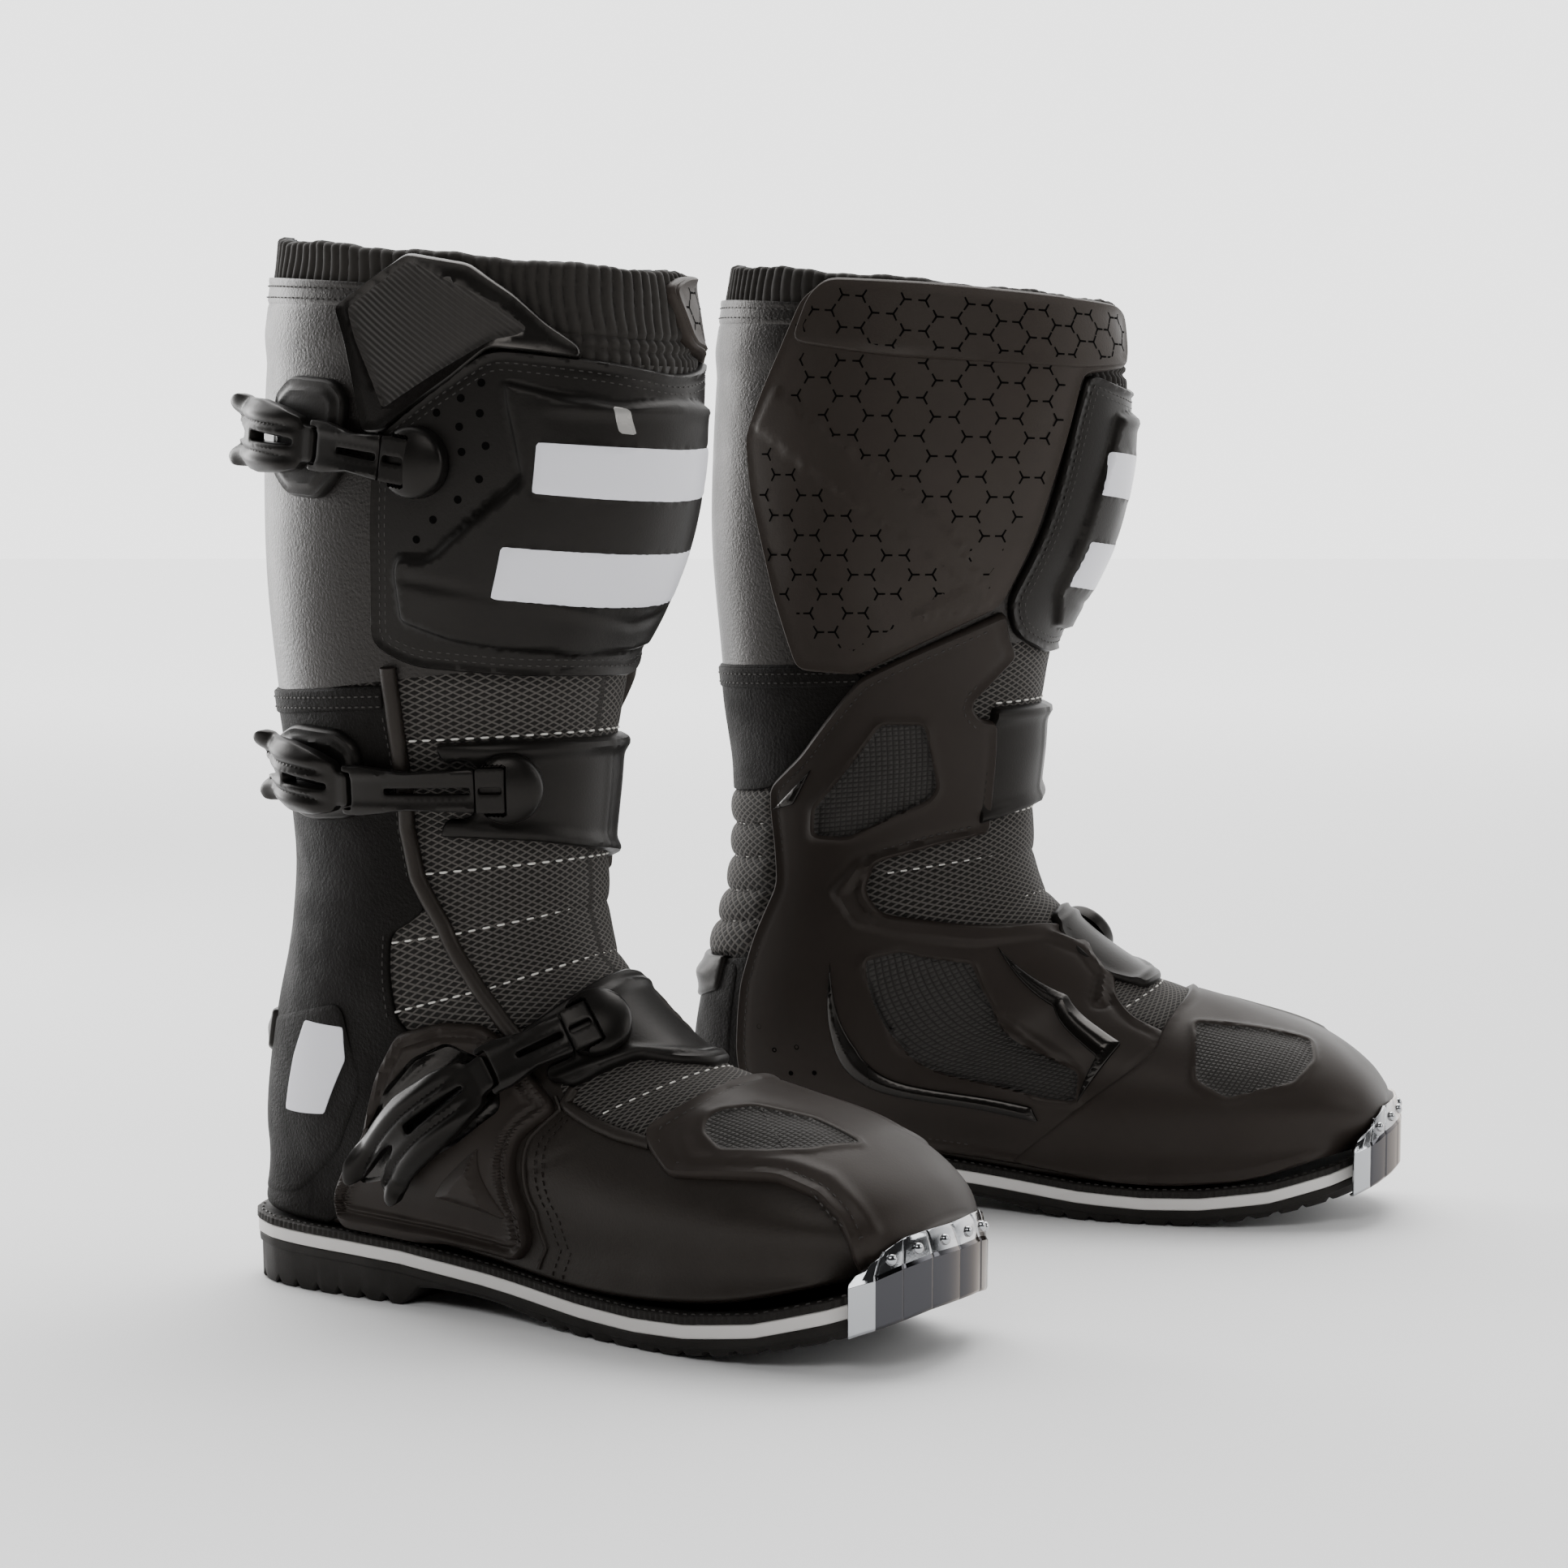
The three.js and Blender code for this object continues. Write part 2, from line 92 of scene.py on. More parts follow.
def soft_lamp(name, place, aim, width, height, watts):
    """A rectangular lamp at place, turned so that it shines towards aim."""
    lamp = bpy.data.objects.new(name, bpy.data.lights.new(name, "AREA"))
    lamp.data.shape = "RECTANGLE"
    lamp.data.size, lamp.data.size_y, lamp.data.energy = width, height, watts
    lamp.location = place
    way = Vector(aim) - Vector(place)
    lamp.rotation_euler = way.to_track_quat("-Z", "Y").to_euler()
    bpy.context.scene.collection.objects.link(lamp)


soft_lamp("side_lamp", (-1.2, 0.85, 0.5), (-0.2, 0, 0.25), 0.4, 1.0, 12)
soft_lamp("front_lamp", (-0.5, -2.4, 2.2), (0, 0, 0.1), 2.0, 1.0, 30)
soft_lamp("right_lamp", (1.9, -0.6, 0.9), (0.1, 0, 0.2), 0.7, 1.0, 9)
soft_lamp("top_lamp", (0.1, 0.9, 2.4), (0, 0.1, 0.1), 2.4, 1.6, 60)

floor_mesh = bpy.data.meshes.new("floor")
floor_mesh.from_pydata([(-14, -14, 0), (14, -14, 0), (14, 14, 0), (-14, 14, 0)], [], [(0, 1, 2, 3)])
floor = bpy.data.objects.new("floor", floor_mesh)
bpy.context.scene.collection.objects.link(floor)
paper = bpy.data.materials.new("matt white studio paper")
paper.use_nodes = True
paper.node_tree.nodes["Principled BSDF"].inputs["Base Color"].default_value = (0.86, 0.86, 0.86, 1)
paper.node_tree.nodes["Principled BSDF"].inputs["Roughness"].default_value = 0.9
# Far behind the pair the paper glows by emission that rises with distance, painted light with no
# lamp behind it, so that it runs into the white sweep.
place = add_node(paper.node_tree, "ShaderNodeTexCoord")
depth = add_node(paper.node_tree, "ShaderNodeSeparateXYZ", {"Vector": place.outputs["Object"]})
painted_glow = add_node(paper.node_tree, "ShaderNodeMapRange",
    {"Value": depth.outputs["Y"], "From Min": 0.3, "From Max": 4.0, "To Min": 0.0,
    "To Max": 1.5}, interpolation_type="SMOOTHSTEP")
paper.node_tree.nodes["Principled BSDF"].inputs["Emission Color"].default_value = (1, 1, 1, 1)
paper.node_tree.links.new(painted_glow.outputs["Result"],
    paper.node_tree.nodes["Principled BSDF"].inputs["Emission Strength"])
floor_mesh.materials.append(paper)

# ---- The form, and the leather calf and shin --------------------------------------------------
# Each boot is lasted on a form: a run of sections that lie level on the leg and turn upright
# along the foot. The calf tube is full-grain leather over a lining, about 3 mm together, glossy
# and fine-grained above the cross seam and matt below it.
LAST = np.array([  # front edge x, z; rear or bottom edge x, z; half width; all in mm
    [178, 385, 14, 401, 60], [183, 345, 7, 350, 63], [175, 292, 5, 292, 62],
    [152, 240, 9, 235, 55], [147, 195, 15, 182, 48], [144, 160, 14, 142, 46],
    [148, 137, 4, 102, 46], [165, 118, -2, 52, 45], [187, 102, 18, 27, 44],
    [208, 92, 95, 23, 46], [237, 84, 172, 15, 50], [266, 75, 228, 18, 50],
    [288, 60, 268, 28, 40], [300, 42, 296, 35, 17]], float)
WELT_TOP = np.array([[-2, 27], [3, 27], [20, 26.5], [60, 25.5], [85, 24.5], [94, 23.5], [130, 20],
    [170, 16], [198, 15], [222, 16], [250, 19.5], [275, 26], [290, 31], [300, 37]])
SOLE = np.array([  # x, half width, underside z; mm
    [-2, 13, 3], [0, 19, 1.5], [3, 24.5, 0], [9, 31.5, 0], [20, 37.5, 0], [38, 40, 0], [60, 40, 0],
    [84, 39, 0], [88, 38.8, 3], [92, 38.6, 7.5], [100, 38.4, 8], [115, 38.3, 7.5], [130, 39, 6],
    [150, 43, 2.5], [170, 47, 0], [184, 49.5, 0], [198, 51, 0], [210, 52.4, 0.4], [222, 53, 1.2],
    [236, 52.8, 2.8], [250, 51, 5.2], [263, 47.5, 8], [275, 42, 11], [283, 36, 13.3],
    [290, 28.5, 16], [295, 21, 18.2], [299, 12, 20.4], [301, 5, 21.5]])
BOOTS = {"r": (-224.74, -11.65, 33.4, 1), "l": (-65.74, 144.05, 10.2, -1)}
LINING_DEPTH = 3.0


def smooth(x, low, high):
    """0 below low, 1 above high, and a cubic ease in between."""
    s = np.clip((x - low) / (high - low), 0, 1)
    return s * s * (3 - 2 * s)


def bell(x, width):
    """A bell curve: 1 where x is 0, fading to nothing some two widths away."""
    return np.exp(-(x / width) ** 2)


def section(t):
    """The form's row at the fractional station t: a Catmull-Rom curve through the table's rows."""
    last = len(LAST) - 1
    i = np.clip(np.floor(t).astype(int), 0, last - 1)
    f = (t - i)[..., None]
    b, c = LAST[i], LAST[i + 1]
    a = np.where((i > 0)[..., None], LAST[np.maximum(i - 1, 0)], 2 * b - c)
    d = np.where((i + 2 <= last)[..., None], LAST[np.minimum(i + 2, last)], 2 * c - b)
    return 0.5 * (2 * b + (c - a) * f + (2 * a - 5 * b + 4 * c - d) * f ** 2
        + (3 * b - a - 3 * c + d) * f ** 3)


def bare_form(t, a):
    """Point at station t and angle a: a flattened ellipse between the section's two edges.
    Angle 0 is the front, 90 the outer side, -90 the inner side; the foot's sections are boxier."""
    t, a = np.broadcast_arrays(np.asarray(t, float), np.asarray(a, float))
    row = section(t)
    c = (1 - np.cos(np.radians(a))) / 2
    power = 0.92 - 0.42 * smooth(t, 6.5, 10) * smooth(c, 0.25, 1)
    s = np.sin(np.radians(a))
    y = -row[..., 4] * np.sign(s) * np.abs(s) ** power + 5 * smooth(t, 8, 10.5)
    x = row[..., 0] + (row[..., 2] - row[..., 0]) * c
    z = row[..., 1] + (row[..., 3] - row[..., 1]) * c
    # Near the welt the upper is pulled out to the welt's plan, 1.8 mm inside its edge.
    ox, oy = np.maximum(x, 45), 5 * smooth(x, 90, 190)
    dx, dy = x - ox, y - oy
    r = np.hypot(dx, dy) + 1e-6
    wide = np.interp(x, SOLE[:, 0], SOLE[:, 1]) - 1.8
    round_heel = (np.abs(dx / r / 45.5) ** 2.4 + np.abs(dy / r / 38.2) ** 2.4 + 1e-9) ** (-1 / 2.4)
    goal = np.where(x < 45, round_heel, wide)
    above = z - np.interp(x, *WELT_TOP.T)
    pull = (smooth(30 - above, 0, 27) * smooth(r / goal, 0.25, 0.75) * smooth(290 - x, 0, 25)
        * smooth(t, 5.2, 6.2))
    k = 1 + (goal / r - 1) * pull
    return np.stack([ox + dx * k, oy + dy * k, z], -1)


def slopes(t, a):
    """How the form's point moves per station and per degree, by central differences."""
    return ((bare_form(t + 0.01, a) - bare_form(t - 0.01, a)) / 0.02,
        (bare_form(t, a + 0.5) - bare_form(t, a - 0.5)))


def outward(t, a):
    """Unit normal of the form, square to both slopes."""
    down, round_ = slopes(t, a)
    n = np.cross(round_, down)
    return n / (np.linalg.norm(n, axis=-1, keepdims=True) + 1e-12)


def on_form(t, a, lift=0.0):
    """Point standing lift mm outside the leather."""
    return bare_form(t, a) + outward(t, a) * np.asarray(lift, float)[..., None]


def stand(points, boot):
    """Boot millimetres to frame metres: the left boot is mirrored, then both turn and move."""
    x, y, turn, side = BOOTS[boot]
    c, s = math.cos(math.radians(turn)), math.sin(math.radians(turn))
    px, py = points[:, 0], points[:, 1] * side
    return np.stack([px * c + py * s + x, -px * s + py * c + y, points[:, 2]], -1) / 1000


def make_piece(name, shape, materials, body, replaces=(), crease=35, bend=None):
    """Puts a shape, worked out on the right boot in mm, onto each boot as one piece. The left one
    is the mirror image, with its faces turned round. When bend is given, the piece keeps its place
    with its transform baked in and rides on no body; its (low z, high z) values in mm are not used.
    Otherwise it rides on the named body."""
    made = []
    for boot in BOOTS:
        points = stand(shape["points"], boot)
        faces = shape["faces"] if BOOTS[boot][3] > 0 else [f[::-1] for f in shape["faces"]]
        mesh = bpy.data.meshes.new(f"{boot}_{name}")
        mesh.from_pydata(points.tolist(), [], [list(f) for f in faces])
        for m in materials:
            mesh.materials.append(m)
        if shape.get("zone") is not None:
            mesh.polygons.foreach_set("material_index", np.asarray(shape["zone"], np.int32))
        if shape.get("flat") is not None:
            corner = np.zeros(len(mesh.loops), np.int32)
            mesh.loops.foreach_get("vertex_index", corner)
            layer = mesh.uv_layers.new(name="leather_mm")
            layer.data.foreach_set("uv", shape["flat"][corner].astype(np.float32).ravel())
        mesh.polygons.foreach_set("use_smooth", np.ones(len(mesh.polygons), bool))
        mesh.set_sharp_from_angle(angle=math.radians(crease))
        piece = bpy.data.objects.new(f"{boot}_{name}", mesh)
        bpy.context.scene.collection.objects.link(piece)
        if bend:
            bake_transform(piece)
        else:
            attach(piece, f"{boot}_{body}")
        if replaces:
            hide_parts(*[f"{boot}_{n}" for n in replaces])
        made.append(piece)
    return made


def flat_mm(t, a):
    """Pattern coordinates in mm: along the sole-to-collar line, and round the leg at 55 mm."""
    stations = np.linspace(-1, 13, 281)
    mid = bare_form(stations, 60)
    run = np.concatenate([[0], np.linalg.norm(np.diff(mid, axis=0), axis=1).cumsum()])
    return np.stack([np.radians(a) * 55, np.interp(t, stations, run)], -1)


def sleeve(t, a, lift, depth):
    """A tube over the grid t, a (rows x columns) at height lift, with an inner wall depth mm under
    it, joined at both ends. The outer skin takes the first material and the rest the second."""
    rows, cols = t.shape
    points = np.concatenate([on_form(t, a, lift - d).reshape(-1, 3) for d in (0, depth)])
    i, j = np.meshgrid(np.arange(rows - 1), np.arange(cols), indexing="ij")
    k = (j + 1) % cols
    quads = np.stack([i * cols + j, (i + 1) * cols + j, (i + 1) * cols + k, i * cols + k], -1)
    quads = quads.reshape(-1, 4)
    far, base, top = rows * cols, (rows - 1) * cols, np.arange(cols)
    after = (top + 1) % cols
    edge = lambda p, q: np.stack([p, q, q + far, p + far], -1)
    faces = np.concatenate([quads, quads[:, ::-1] + far, edge(top, after),
        edge(base + after, base + top)])
    return {"points": points, "faces": faces.tolist(),
        "flat": np.tile(flat_mm(t, a).reshape(-1, 2), (2, 1)),
        "zone": [0] * len(quads) + [1] * (len(faces) - len(quads))}


def lines_between(front_rear_top, front_rear_low, rows, columns):
    """Grid of stations and angles between two level lines, each given at the front and rear."""
    a = np.linspace(0, 360, columns, endpoint=False)
    c = (1 - np.cos(np.radians(a))) / 2
    top = front_rear_top[0] + (front_rear_top[1] - front_rear_top[0]) * c
    low = front_rear_low[0] + (front_rear_low[1] - front_rear_low[0]) * c
    f = np.linspace(0, 1, rows)[:, None]
    return top + (low - top) * f, np.broadcast_to(a, (rows, columns))


def surface(name, colour, roughness, pattern="Object", **sockets):
    """A new material with its shader and its pattern coordinates: Object metres or leather mm."""
    material = bpy.data.materials.new(name)
    material.use_nodes = True
    tree = material.node_tree
    shader = tree.nodes["Principled BSDF"]
    shader.inputs["Base Color"].default_value = (*linear(colour), 1)
    shader.inputs["Roughness"].default_value = roughness
    shader.inputs["Specular Tint"].default_value = (1, 0.93, 0.87, 1)
    for key, value in sockets.items():
        shader.inputs[key.replace("_", " ")].default_value = value
    if pattern == "Object":
        where = add_node(tree, "ShaderNodeTexCoord").outputs["Object"]
    else:
        where = add_node(tree, "ShaderNodeUVMap", uv_map="leather_mm").outputs["UV"]
    return material, tree, shader, where


def worn(tree, shader, where, size_mm, low, high):
    """Roughness that wanders between low and high over patches of size_mm, as handled leather."""
    patches = add_node(tree, "ShaderNodeTexNoise", {"Vector": where, "Scale": 1000 / size_mm,
        "Detail": 3.0})
    spread = add_node(tree, "ShaderNodeMapRange", {"Value": patches.outputs["Fac"], "From Min": 0.3,
        "From Max": 0.7, "To Min": low, "To Max": high})
    tree.links.new(spread.outputs["Result"], shader.inputs["Roughness"])


def grain(tree, shader, where, size_mm, height_mm, strength=1.0, mix_mm=6):
    """Leather grain: rounded cells of size_mm between fine creases, under a slow swell."""
    cells = add_node(tree, "ShaderNodeTexVoronoi", {"Vector": where, "Scale": 1000 / size_mm,
        "Randomness": 1.0}, feature="SMOOTH_F1")
    fine = add_node(tree, "ShaderNodeTexNoise", {"Vector": where, "Scale": 2200 / size_mm,
        "Detail": 4.0})
    swell = add_node(tree, "ShaderNodeTexNoise", {"Vector": where, "Scale": 1000 / mix_mm})
    both = add_node(tree, "ShaderNodeMath", {0: cells.outputs["Distance"],
        1: fine.outputs["Fac"]}, operation="SUBTRACT")
    total = add_node(tree, "ShaderNodeMath", {0: swell.outputs["Fac"], 1: 0.6,
        2: both.outputs[0]}, operation="MULTIPLY_ADD")
    bump = add_node(tree, "ShaderNodeBump", {"Height": total.outputs[0], "Strength": strength,
        "Distance": height_mm / 1000}, invert=True)
    tree.links.new(bump.outputs["Normal"], shader.inputs["Normal"])
    return bump


def plain_finish(name, colour, roughness, specular, wear, pebble=None):
    """A material with no pattern but its wear, by worn(), and its grain, by grain()."""
    material, tree, shader, where = surface(name, colour, roughness, Specular_IOR_Level=specular)
    worn(tree, shader, where, *wear)
    if pebble:
        grain(tree, shader, where, *pebble)
    return material


# Corrected-grain cowhide, pressed and sprayed glossy black: a tight pebble with a hard sheen.
calf_leather = plain_finish("glossy corrected grain leather", "#100e0d", 0.32, 0.3,
    (25, 0.27, 0.37), (1.15, 0.13))
# The same hide left matt and more deeply pebbled, as it bends at the ankle.
ankle_leather = plain_finish("matt pebbled leather", "#0c0b0a", 0.62, 0.1,
    (18, 0.54, 0.7), (1.3, 0.26))
# Warp-knit lining, brushed grey-black: soft, with no shine.
lining, tree, shader, where = surface("brushed knit lining", "#1d1d1e", 0.95,
    Specular_IOR_Level=0.1, Sheen_Weight=0.3)
grain(tree, shader, where, 1.1, 0.3)

# The top hem lies over the collar at the back and sides and drops to the shin plate in front.
t, a = lines_between((0.86, 0.5), (2.92, 3.16), 72, 180)
wrapped = (a + 180) % 360 - 180
brim = 0.27 + 0.59 * smooth(np.abs(wrapped + 12), 103, 83)
t = brim + (t[-1] - brim) * np.linspace(0, 1, 72)[:, None] ** 1.5
hem = (0.5 * bell(t - brim - 0.02, 0.03) + 0.35 * smooth(t - brim, 0.20, 0.17)
    - 0.3 * bell(t - brim - 0.20, 0.012))
calf = sleeve(t, a, 2.0 * smooth(t, 0.95, 0.66) + hem * smooth(t, 0.7, 0.6)
    + 0.35 * np.sin(t * 2.1 + np.radians(a)) ** 2, LINING_DEPTH)
make_piece("calf_leather", calf, [calf_leather, lining], "shaft", ["shaft_shell"])

# ---- Elastic collar ---------------------------------------------------------------------------
# A gathered band of ribbed elastic sewn round the mouth. Knitted cords run up and down it about
# 4 mm apart over a thin foam core, puckered by two rows of elastic thread; the top is turned in.
RIB_COUNT = 96
RIB_HEIGHT = 1.5

# Ribbed elastic knit, piece-dyed black: dull, with a little light caught along every rib.
elastic, tree, shader, where = surface("ribbed elastic knit", "#242220", 0.85,
    Specular_IOR_Level=0.25, Sheen_Weight=0.12, Sheen_Roughness=0.4)
threads = add_node(tree, "ShaderNodeTexWave", {"Vector": where, "Scale": 1000 / 2.4 / 6.28,
    "Distortion": 1.5, "Detail": 2.0}, bands_direction="Z")
bump = add_node(tree, "ShaderNodeBump", {"Height": threads.outputs["Fac"], "Strength": 0.5,
    "Distance": 0.0003})
tree.links.new(bump.outputs["Normal"], shader.inputs["Normal"])

t, a = lines_between((-0.03, -0.03), (0.98, 0.60), 36, RIB_COUNT * 8)
f = np.linspace(0, 1, 36)[:, None]
rib = np.abs(np.cos(np.radians(a) * RIB_COUNT / 2 + 0.5 * np.sin(np.radians(a) * 7)
    + 0.35 * np.sin(f * 9 + np.radians(a) * 3)))
pucker = bell(f - 0.66, 0.03) + bell(f - 0.78, 0.03)
sway = 0.5 * np.sin(np.radians(a) * 11 + f * 4) + 0.4 * np.sin(np.radians(a) * 5)
turned_in = -2.2 * np.clip(1 - f / 0.05, 0, 1) ** 2
ragged = 0.006 * np.sin(np.radians(a) * 31) + 0.012 * np.sin(np.radians(a) * 9)
band = sleeve(t + ragged * (1 - f), a, RIB_HEIGHT * rib ** 0.7 * (1 - 0.6 * pucker) + sway * 0.5
    - 1.0 * pucker + turned_in - 0.3, 3.0)
for pad in make_piece("ribbed_collar", band, [elastic, lining], "shaft", ["collar"],
    crease=60):
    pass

# ---- Shin plate -------------------------------------------------------------------------------
# An injection-moulded polyurethane plate over the shin, sewn down round its edge with two rows
# of thread. A raised facetted shield stands in its middle with light bars printed on it, and a
# field of small air holes lies beside the shield. The bars are two plain straight bands.
SHIN_OUTLINE = np.array([
    [0.76, 57], [0.83, 28], [0.93, 0], [0.87, -18], [0.77, -33], [1.25, -38], [1.95, -42],
    [2.60, -46], [2.88, -37], [3.04, -16], [3.03, 4], [3.00, 38], [2.92, 70], [2.76, 84],
    [1.98, 87], [1.38, 87.5]])
SHIELD = np.array([
    [0.99, 54], [1.08, 40], [1.14, 22], [1.10, 2], [1.12, -18], [1.80, -26], [2.50, -28],
    [2.80, -18], [2.84, 4], [2.82, 32], [2.74, 58], [2.60, 75], [2.24, 79], [2.14, 78],
    [2.15, 69], [1.65, 48], [1.19, 53]])
LIGHT_BARS = [
    np.array([[1.42, 44], [1.44, 22], [1.45, 0], [1.43, -21], [1.75, -23], [1.78, 0], [1.77, 22],
    [1.74, 44]]),
    np.array([[2.08, 50], [2.11, 25], [2.12, 0], [2.10, -22], [2.44, -24], [2.47, 0], [2.46, 25],
    [2.42, 50]])]
REFLECTOR = np.array([[1.17, 24.5], [1.19, 19.5], [1.36, 16.5], [1.35, 22]])
AIR_HOLES = np.array([
    [1.03, 59], [1.14, 64], [1.24, 70], [1.24, 59], [1.33, 64], [1.45, 57], [1.49, 63],
    [1.66, 58], [1.79, 63], [1.92, 69], [2.05, 73]])


def rounded(loop, radius, count=5):
    """Closed loop of (t, a) corners with each corner swapped for a short parabola that leaves
    its two edges radius mm away."""
    before, after = np.roll(loop, 1, 0), np.roll(loop, -1, 0)
    here = on_form(*loop.T)
    reach = lambda other: np.minimum(0.45, radius / np.linalg.norm(
        on_form(*other.T) - here, axis=1))[:, None]
    start = loop + (before - loop) * reach(before)
    end = loop + (after - loop) * reach(after)
    s = np.linspace(0, 1, count)[None, :, None]
    curve = (start[:, None] * (1 - s) ** 2 + 2 * loop[:, None] * s * (1 - s) + end[:, None]
        * s ** 2)
    return curve.reshape(-1, 2)


def evenly(path, step, closed=True):
    """Points about step mm apart along a path of (t, a) corners, found from its length in mm."""
    line = np.vstack([path, path[:1]]) if closed else np.asarray(path, float)
    fine = np.concatenate([np.linspace(line[i], line[i + 1], 12, endpoint=False)
        for i in range(len(line) - 1)] + [line[-1:]])
    run = np.linalg.norm(np.diff(on_form(*fine.T), axis=0), axis=1)
    run = np.concatenate([[0], run.cumsum()])
    count = max(3, int(round(run[-1] / step)))
    at = np.linspace(0, run[-1], count + 1)[:-1 if closed else None]
    return np.stack([np.interp(at, run, fine[:, k]) for k in (0, 1)], -1)


def within(loop, t, a):
    """True where (t, a) lies inside the closed loop: a ray crosses its edges an odd number of
    times."""
    x, y = loop[:, 0], loop[:, 1]
    x2, y2 = np.roll(x, -1), np.roll(y, -1)
    tt, aa = np.ravel(t)[:, None], np.ravel(a)[:, None]
    across = (y > aa) != (y2 > aa)
    at = x + (aa - y) / np.where(y2 == y, 1e-9, y2 - y) * (x2 - x)
    return ((across & (tt < at)).sum(1) % 2 == 1).reshape(np.shape(t))


def gap_to(path, points, closed=True):
    """Shortest distance in mm from each point to the path laid on the form."""
    p = on_form(*path.T)
    q = np.roll(p, -1, 0) if closed else p[1:]
    p = p if closed else p[:-1]
    e = q - p
    best = np.full(len(points), 1e9)
    for k in range(0, len(points), 4000):
        d = points[k:k + 4000, None] - p
        f = np.clip((d * e).sum(-1) / ((e * e).sum(-1) + 1e-12), 0, 1)
        best[k:k + 4000] = np.linalg.norm(d - f[..., None] * e, axis=-1).min(1)
    return best


def inset(loop, mm):
    """The closed loop moved inwards over the form by mm, square to its own direction."""
    down, round_ = slopes(*loop.T)
    ahead = np.roll(loop, -1, 0) - np.roll(loop, 1, 0)
    way = down * ahead[:, :1] + round_ * ahead[:, 1:]
    side = np.cross(outward(*loop.T), way)
    side /= np.linalg.norm(side, axis=1, keepdims=True) + 1e-12
    dd, dr, rr = (down * down).sum(1), (down * round_).sum(1), (round_ * round_).sum(1)
    sd, sr = (side * down).sum(1), (side * round_).sum(1)
    det = dd * rr - dr * dr
    move = np.stack([(sd * rr - sr * dr) / det, (sr * dd - sd * dr) / det], -1)
    probe = loop + move * 0.3
    sign = 1 if within(loop, *probe.T).mean() > 0.5 else -1
    return loop + move * (mm * sign)


def triangles(loops, seeds):
    """Flat points and triangles: a constrained Delaunay mesh of the seeds that keeps every closed
    loop as a run of edges."""
    links, count = [], 0
    for loop in loops:
        links += [(count + i, count + (i + 1) % len(loop)) for i in range(len(loop))]
        count += len(loop)
    points = [Vector(p) for p in np.concatenate(loops + [seeds]).tolist()]
    out = delaunay_2d_cdt(points, links, [], 0, 1e-4)
    return np.array([tuple(v) for v in out[0]]), np.array([f for f in out[2] if len(f) == 3])


def plate(outline, thick, rim=1.2, step=2.0, under=0.0, rise=None, marks=(), zones=(), sink=1.0):
    """A panel on the form: its outline falls to sink mm under the leather, its edge is a quarter
    round of radius rim up to thick, and rise(t, a, gap) adds height over that, gap being the
    distance in mm to the edge. The surface is a constrained triangulation of even points, with
    the loops in marks and zones as creases; a face inside zones[k] takes the material k + 1."""
    edge = evenly(outline, step * 0.8)
    loops = [edge, inset(edge, 0.15), inset(edge, rim * 0.5), inset(edge, rim)]
    extra = [evenly(m, step * 0.8) for m in list(marks) + list(zones)]
    middle = edge.mean(0)
    down, round_ = slopes(middle[0], middle[1])
    scale = np.array([np.linalg.norm(down), np.linalg.norm(round_)])
    low, high = edge.min(0) * scale, edge.max(0) * scale
    rows = np.arange(low[0], high[0], step * 0.87)
    cols = np.arange(low[1], high[1], step)
    x, y = np.meshgrid(rows, cols, indexing="ij")
    y = y + (np.arange(len(rows)) % 2)[:, None] * step / 2
    t, a = x.ravel() / scale[0], y.ravel() / scale[1]
    keep = within(edge, t, a)
    t, a = t[keep], a[keep]
    points = on_form(t, a)
    keep = gap_to(edge, points) > rim + step * 0.4
    for loop in extra:
        keep &= gap_to(loop, points) > step * 0.45
    seeds = np.stack([t[keep], a[keep]], -1)
    flat, faces = triangles([loop * scale for loop in loops + extra], seeds * scale)
    ta = flat / scale
    centre = ta[faces].mean(1)
    inner = within(edge, *centre.T)
    faces, centre = faces[inner], centre[inner]
    t, a = ta[:, 0], ta[:, 1]
    gap = gap_to(edge, on_form(t, a))
    s = np.clip(gap / rim, 0, 1)
    lift = under + thick * np.sqrt(np.clip(1 - (1 - s) ** 2, 0, 1))
    if rise is not None:
        lift = lift + rise(t, a, gap)
    lift = np.where(gap < 0.05, -sink, lift)
    points = on_form(t, a, lift)
    corner = points[faces]
    normal = np.cross(corner[:, 1] - corner[:, 0], corner[:, 2] - corner[:, 0])
    if (normal * outward(*centre.T)).sum() < 0:
        faces = faces[:, ::-1]
    zone = np.zeros(len(faces), int)
    for k, loop in enumerate(zones):
        zone[within(loop, *centre.T)] = k + 1
    return {"points": points, "faces": [tuple(f) for f in faces.tolist()], "zone": zone,
        "flat": flat_mm(t, a)}


def joined(shapes):
    """Several shapes as one, each with its own points; zones and pattern places are kept."""
    points, faces, zone, flat, count = [], [], [], [], 0
    for s in shapes:
        points.append(s["points"])
        flat.append(s.get("flat") if s.get("flat") is not None else np.zeros((len(s["points"]), 2)))
        faces += [tuple(i + count for i in f) for f in s["faces"]]
        zone += list(s["zone"]) if s.get("zone") is not None else [0] * len(s["faces"])
        count += len(s["points"])
    return {"points": np.concatenate(points), "faces": faces, "zone": zone,
        "flat": np.concatenate(flat)}


def stamped(template, faces, centre, ahead, up):
    """Copies of a small template shape: its X laid along ahead, its Z along up, at each centre."""
    ahead = ahead / (np.linalg.norm(ahead, axis=1, keepdims=True) + 1e-12)
    side = np.cross(up, ahead)
    side /= np.linalg.norm(side, axis=1, keepdims=True) + 1e-12
    lifted = np.cross(ahead, side)
    points = (centre[:, None] + template[None, :, :1] * ahead[:, None]
        + template[None, :, 1:2] * side[:, None] + template[None, :, 2:] * lifted[:, None])
    faces = faces[None] + np.arange(len(centre))[:, None, None] * len(template)
    return {"points": points.reshape(-1, 3), "faces": faces.reshape(-1, 3).tolist()}


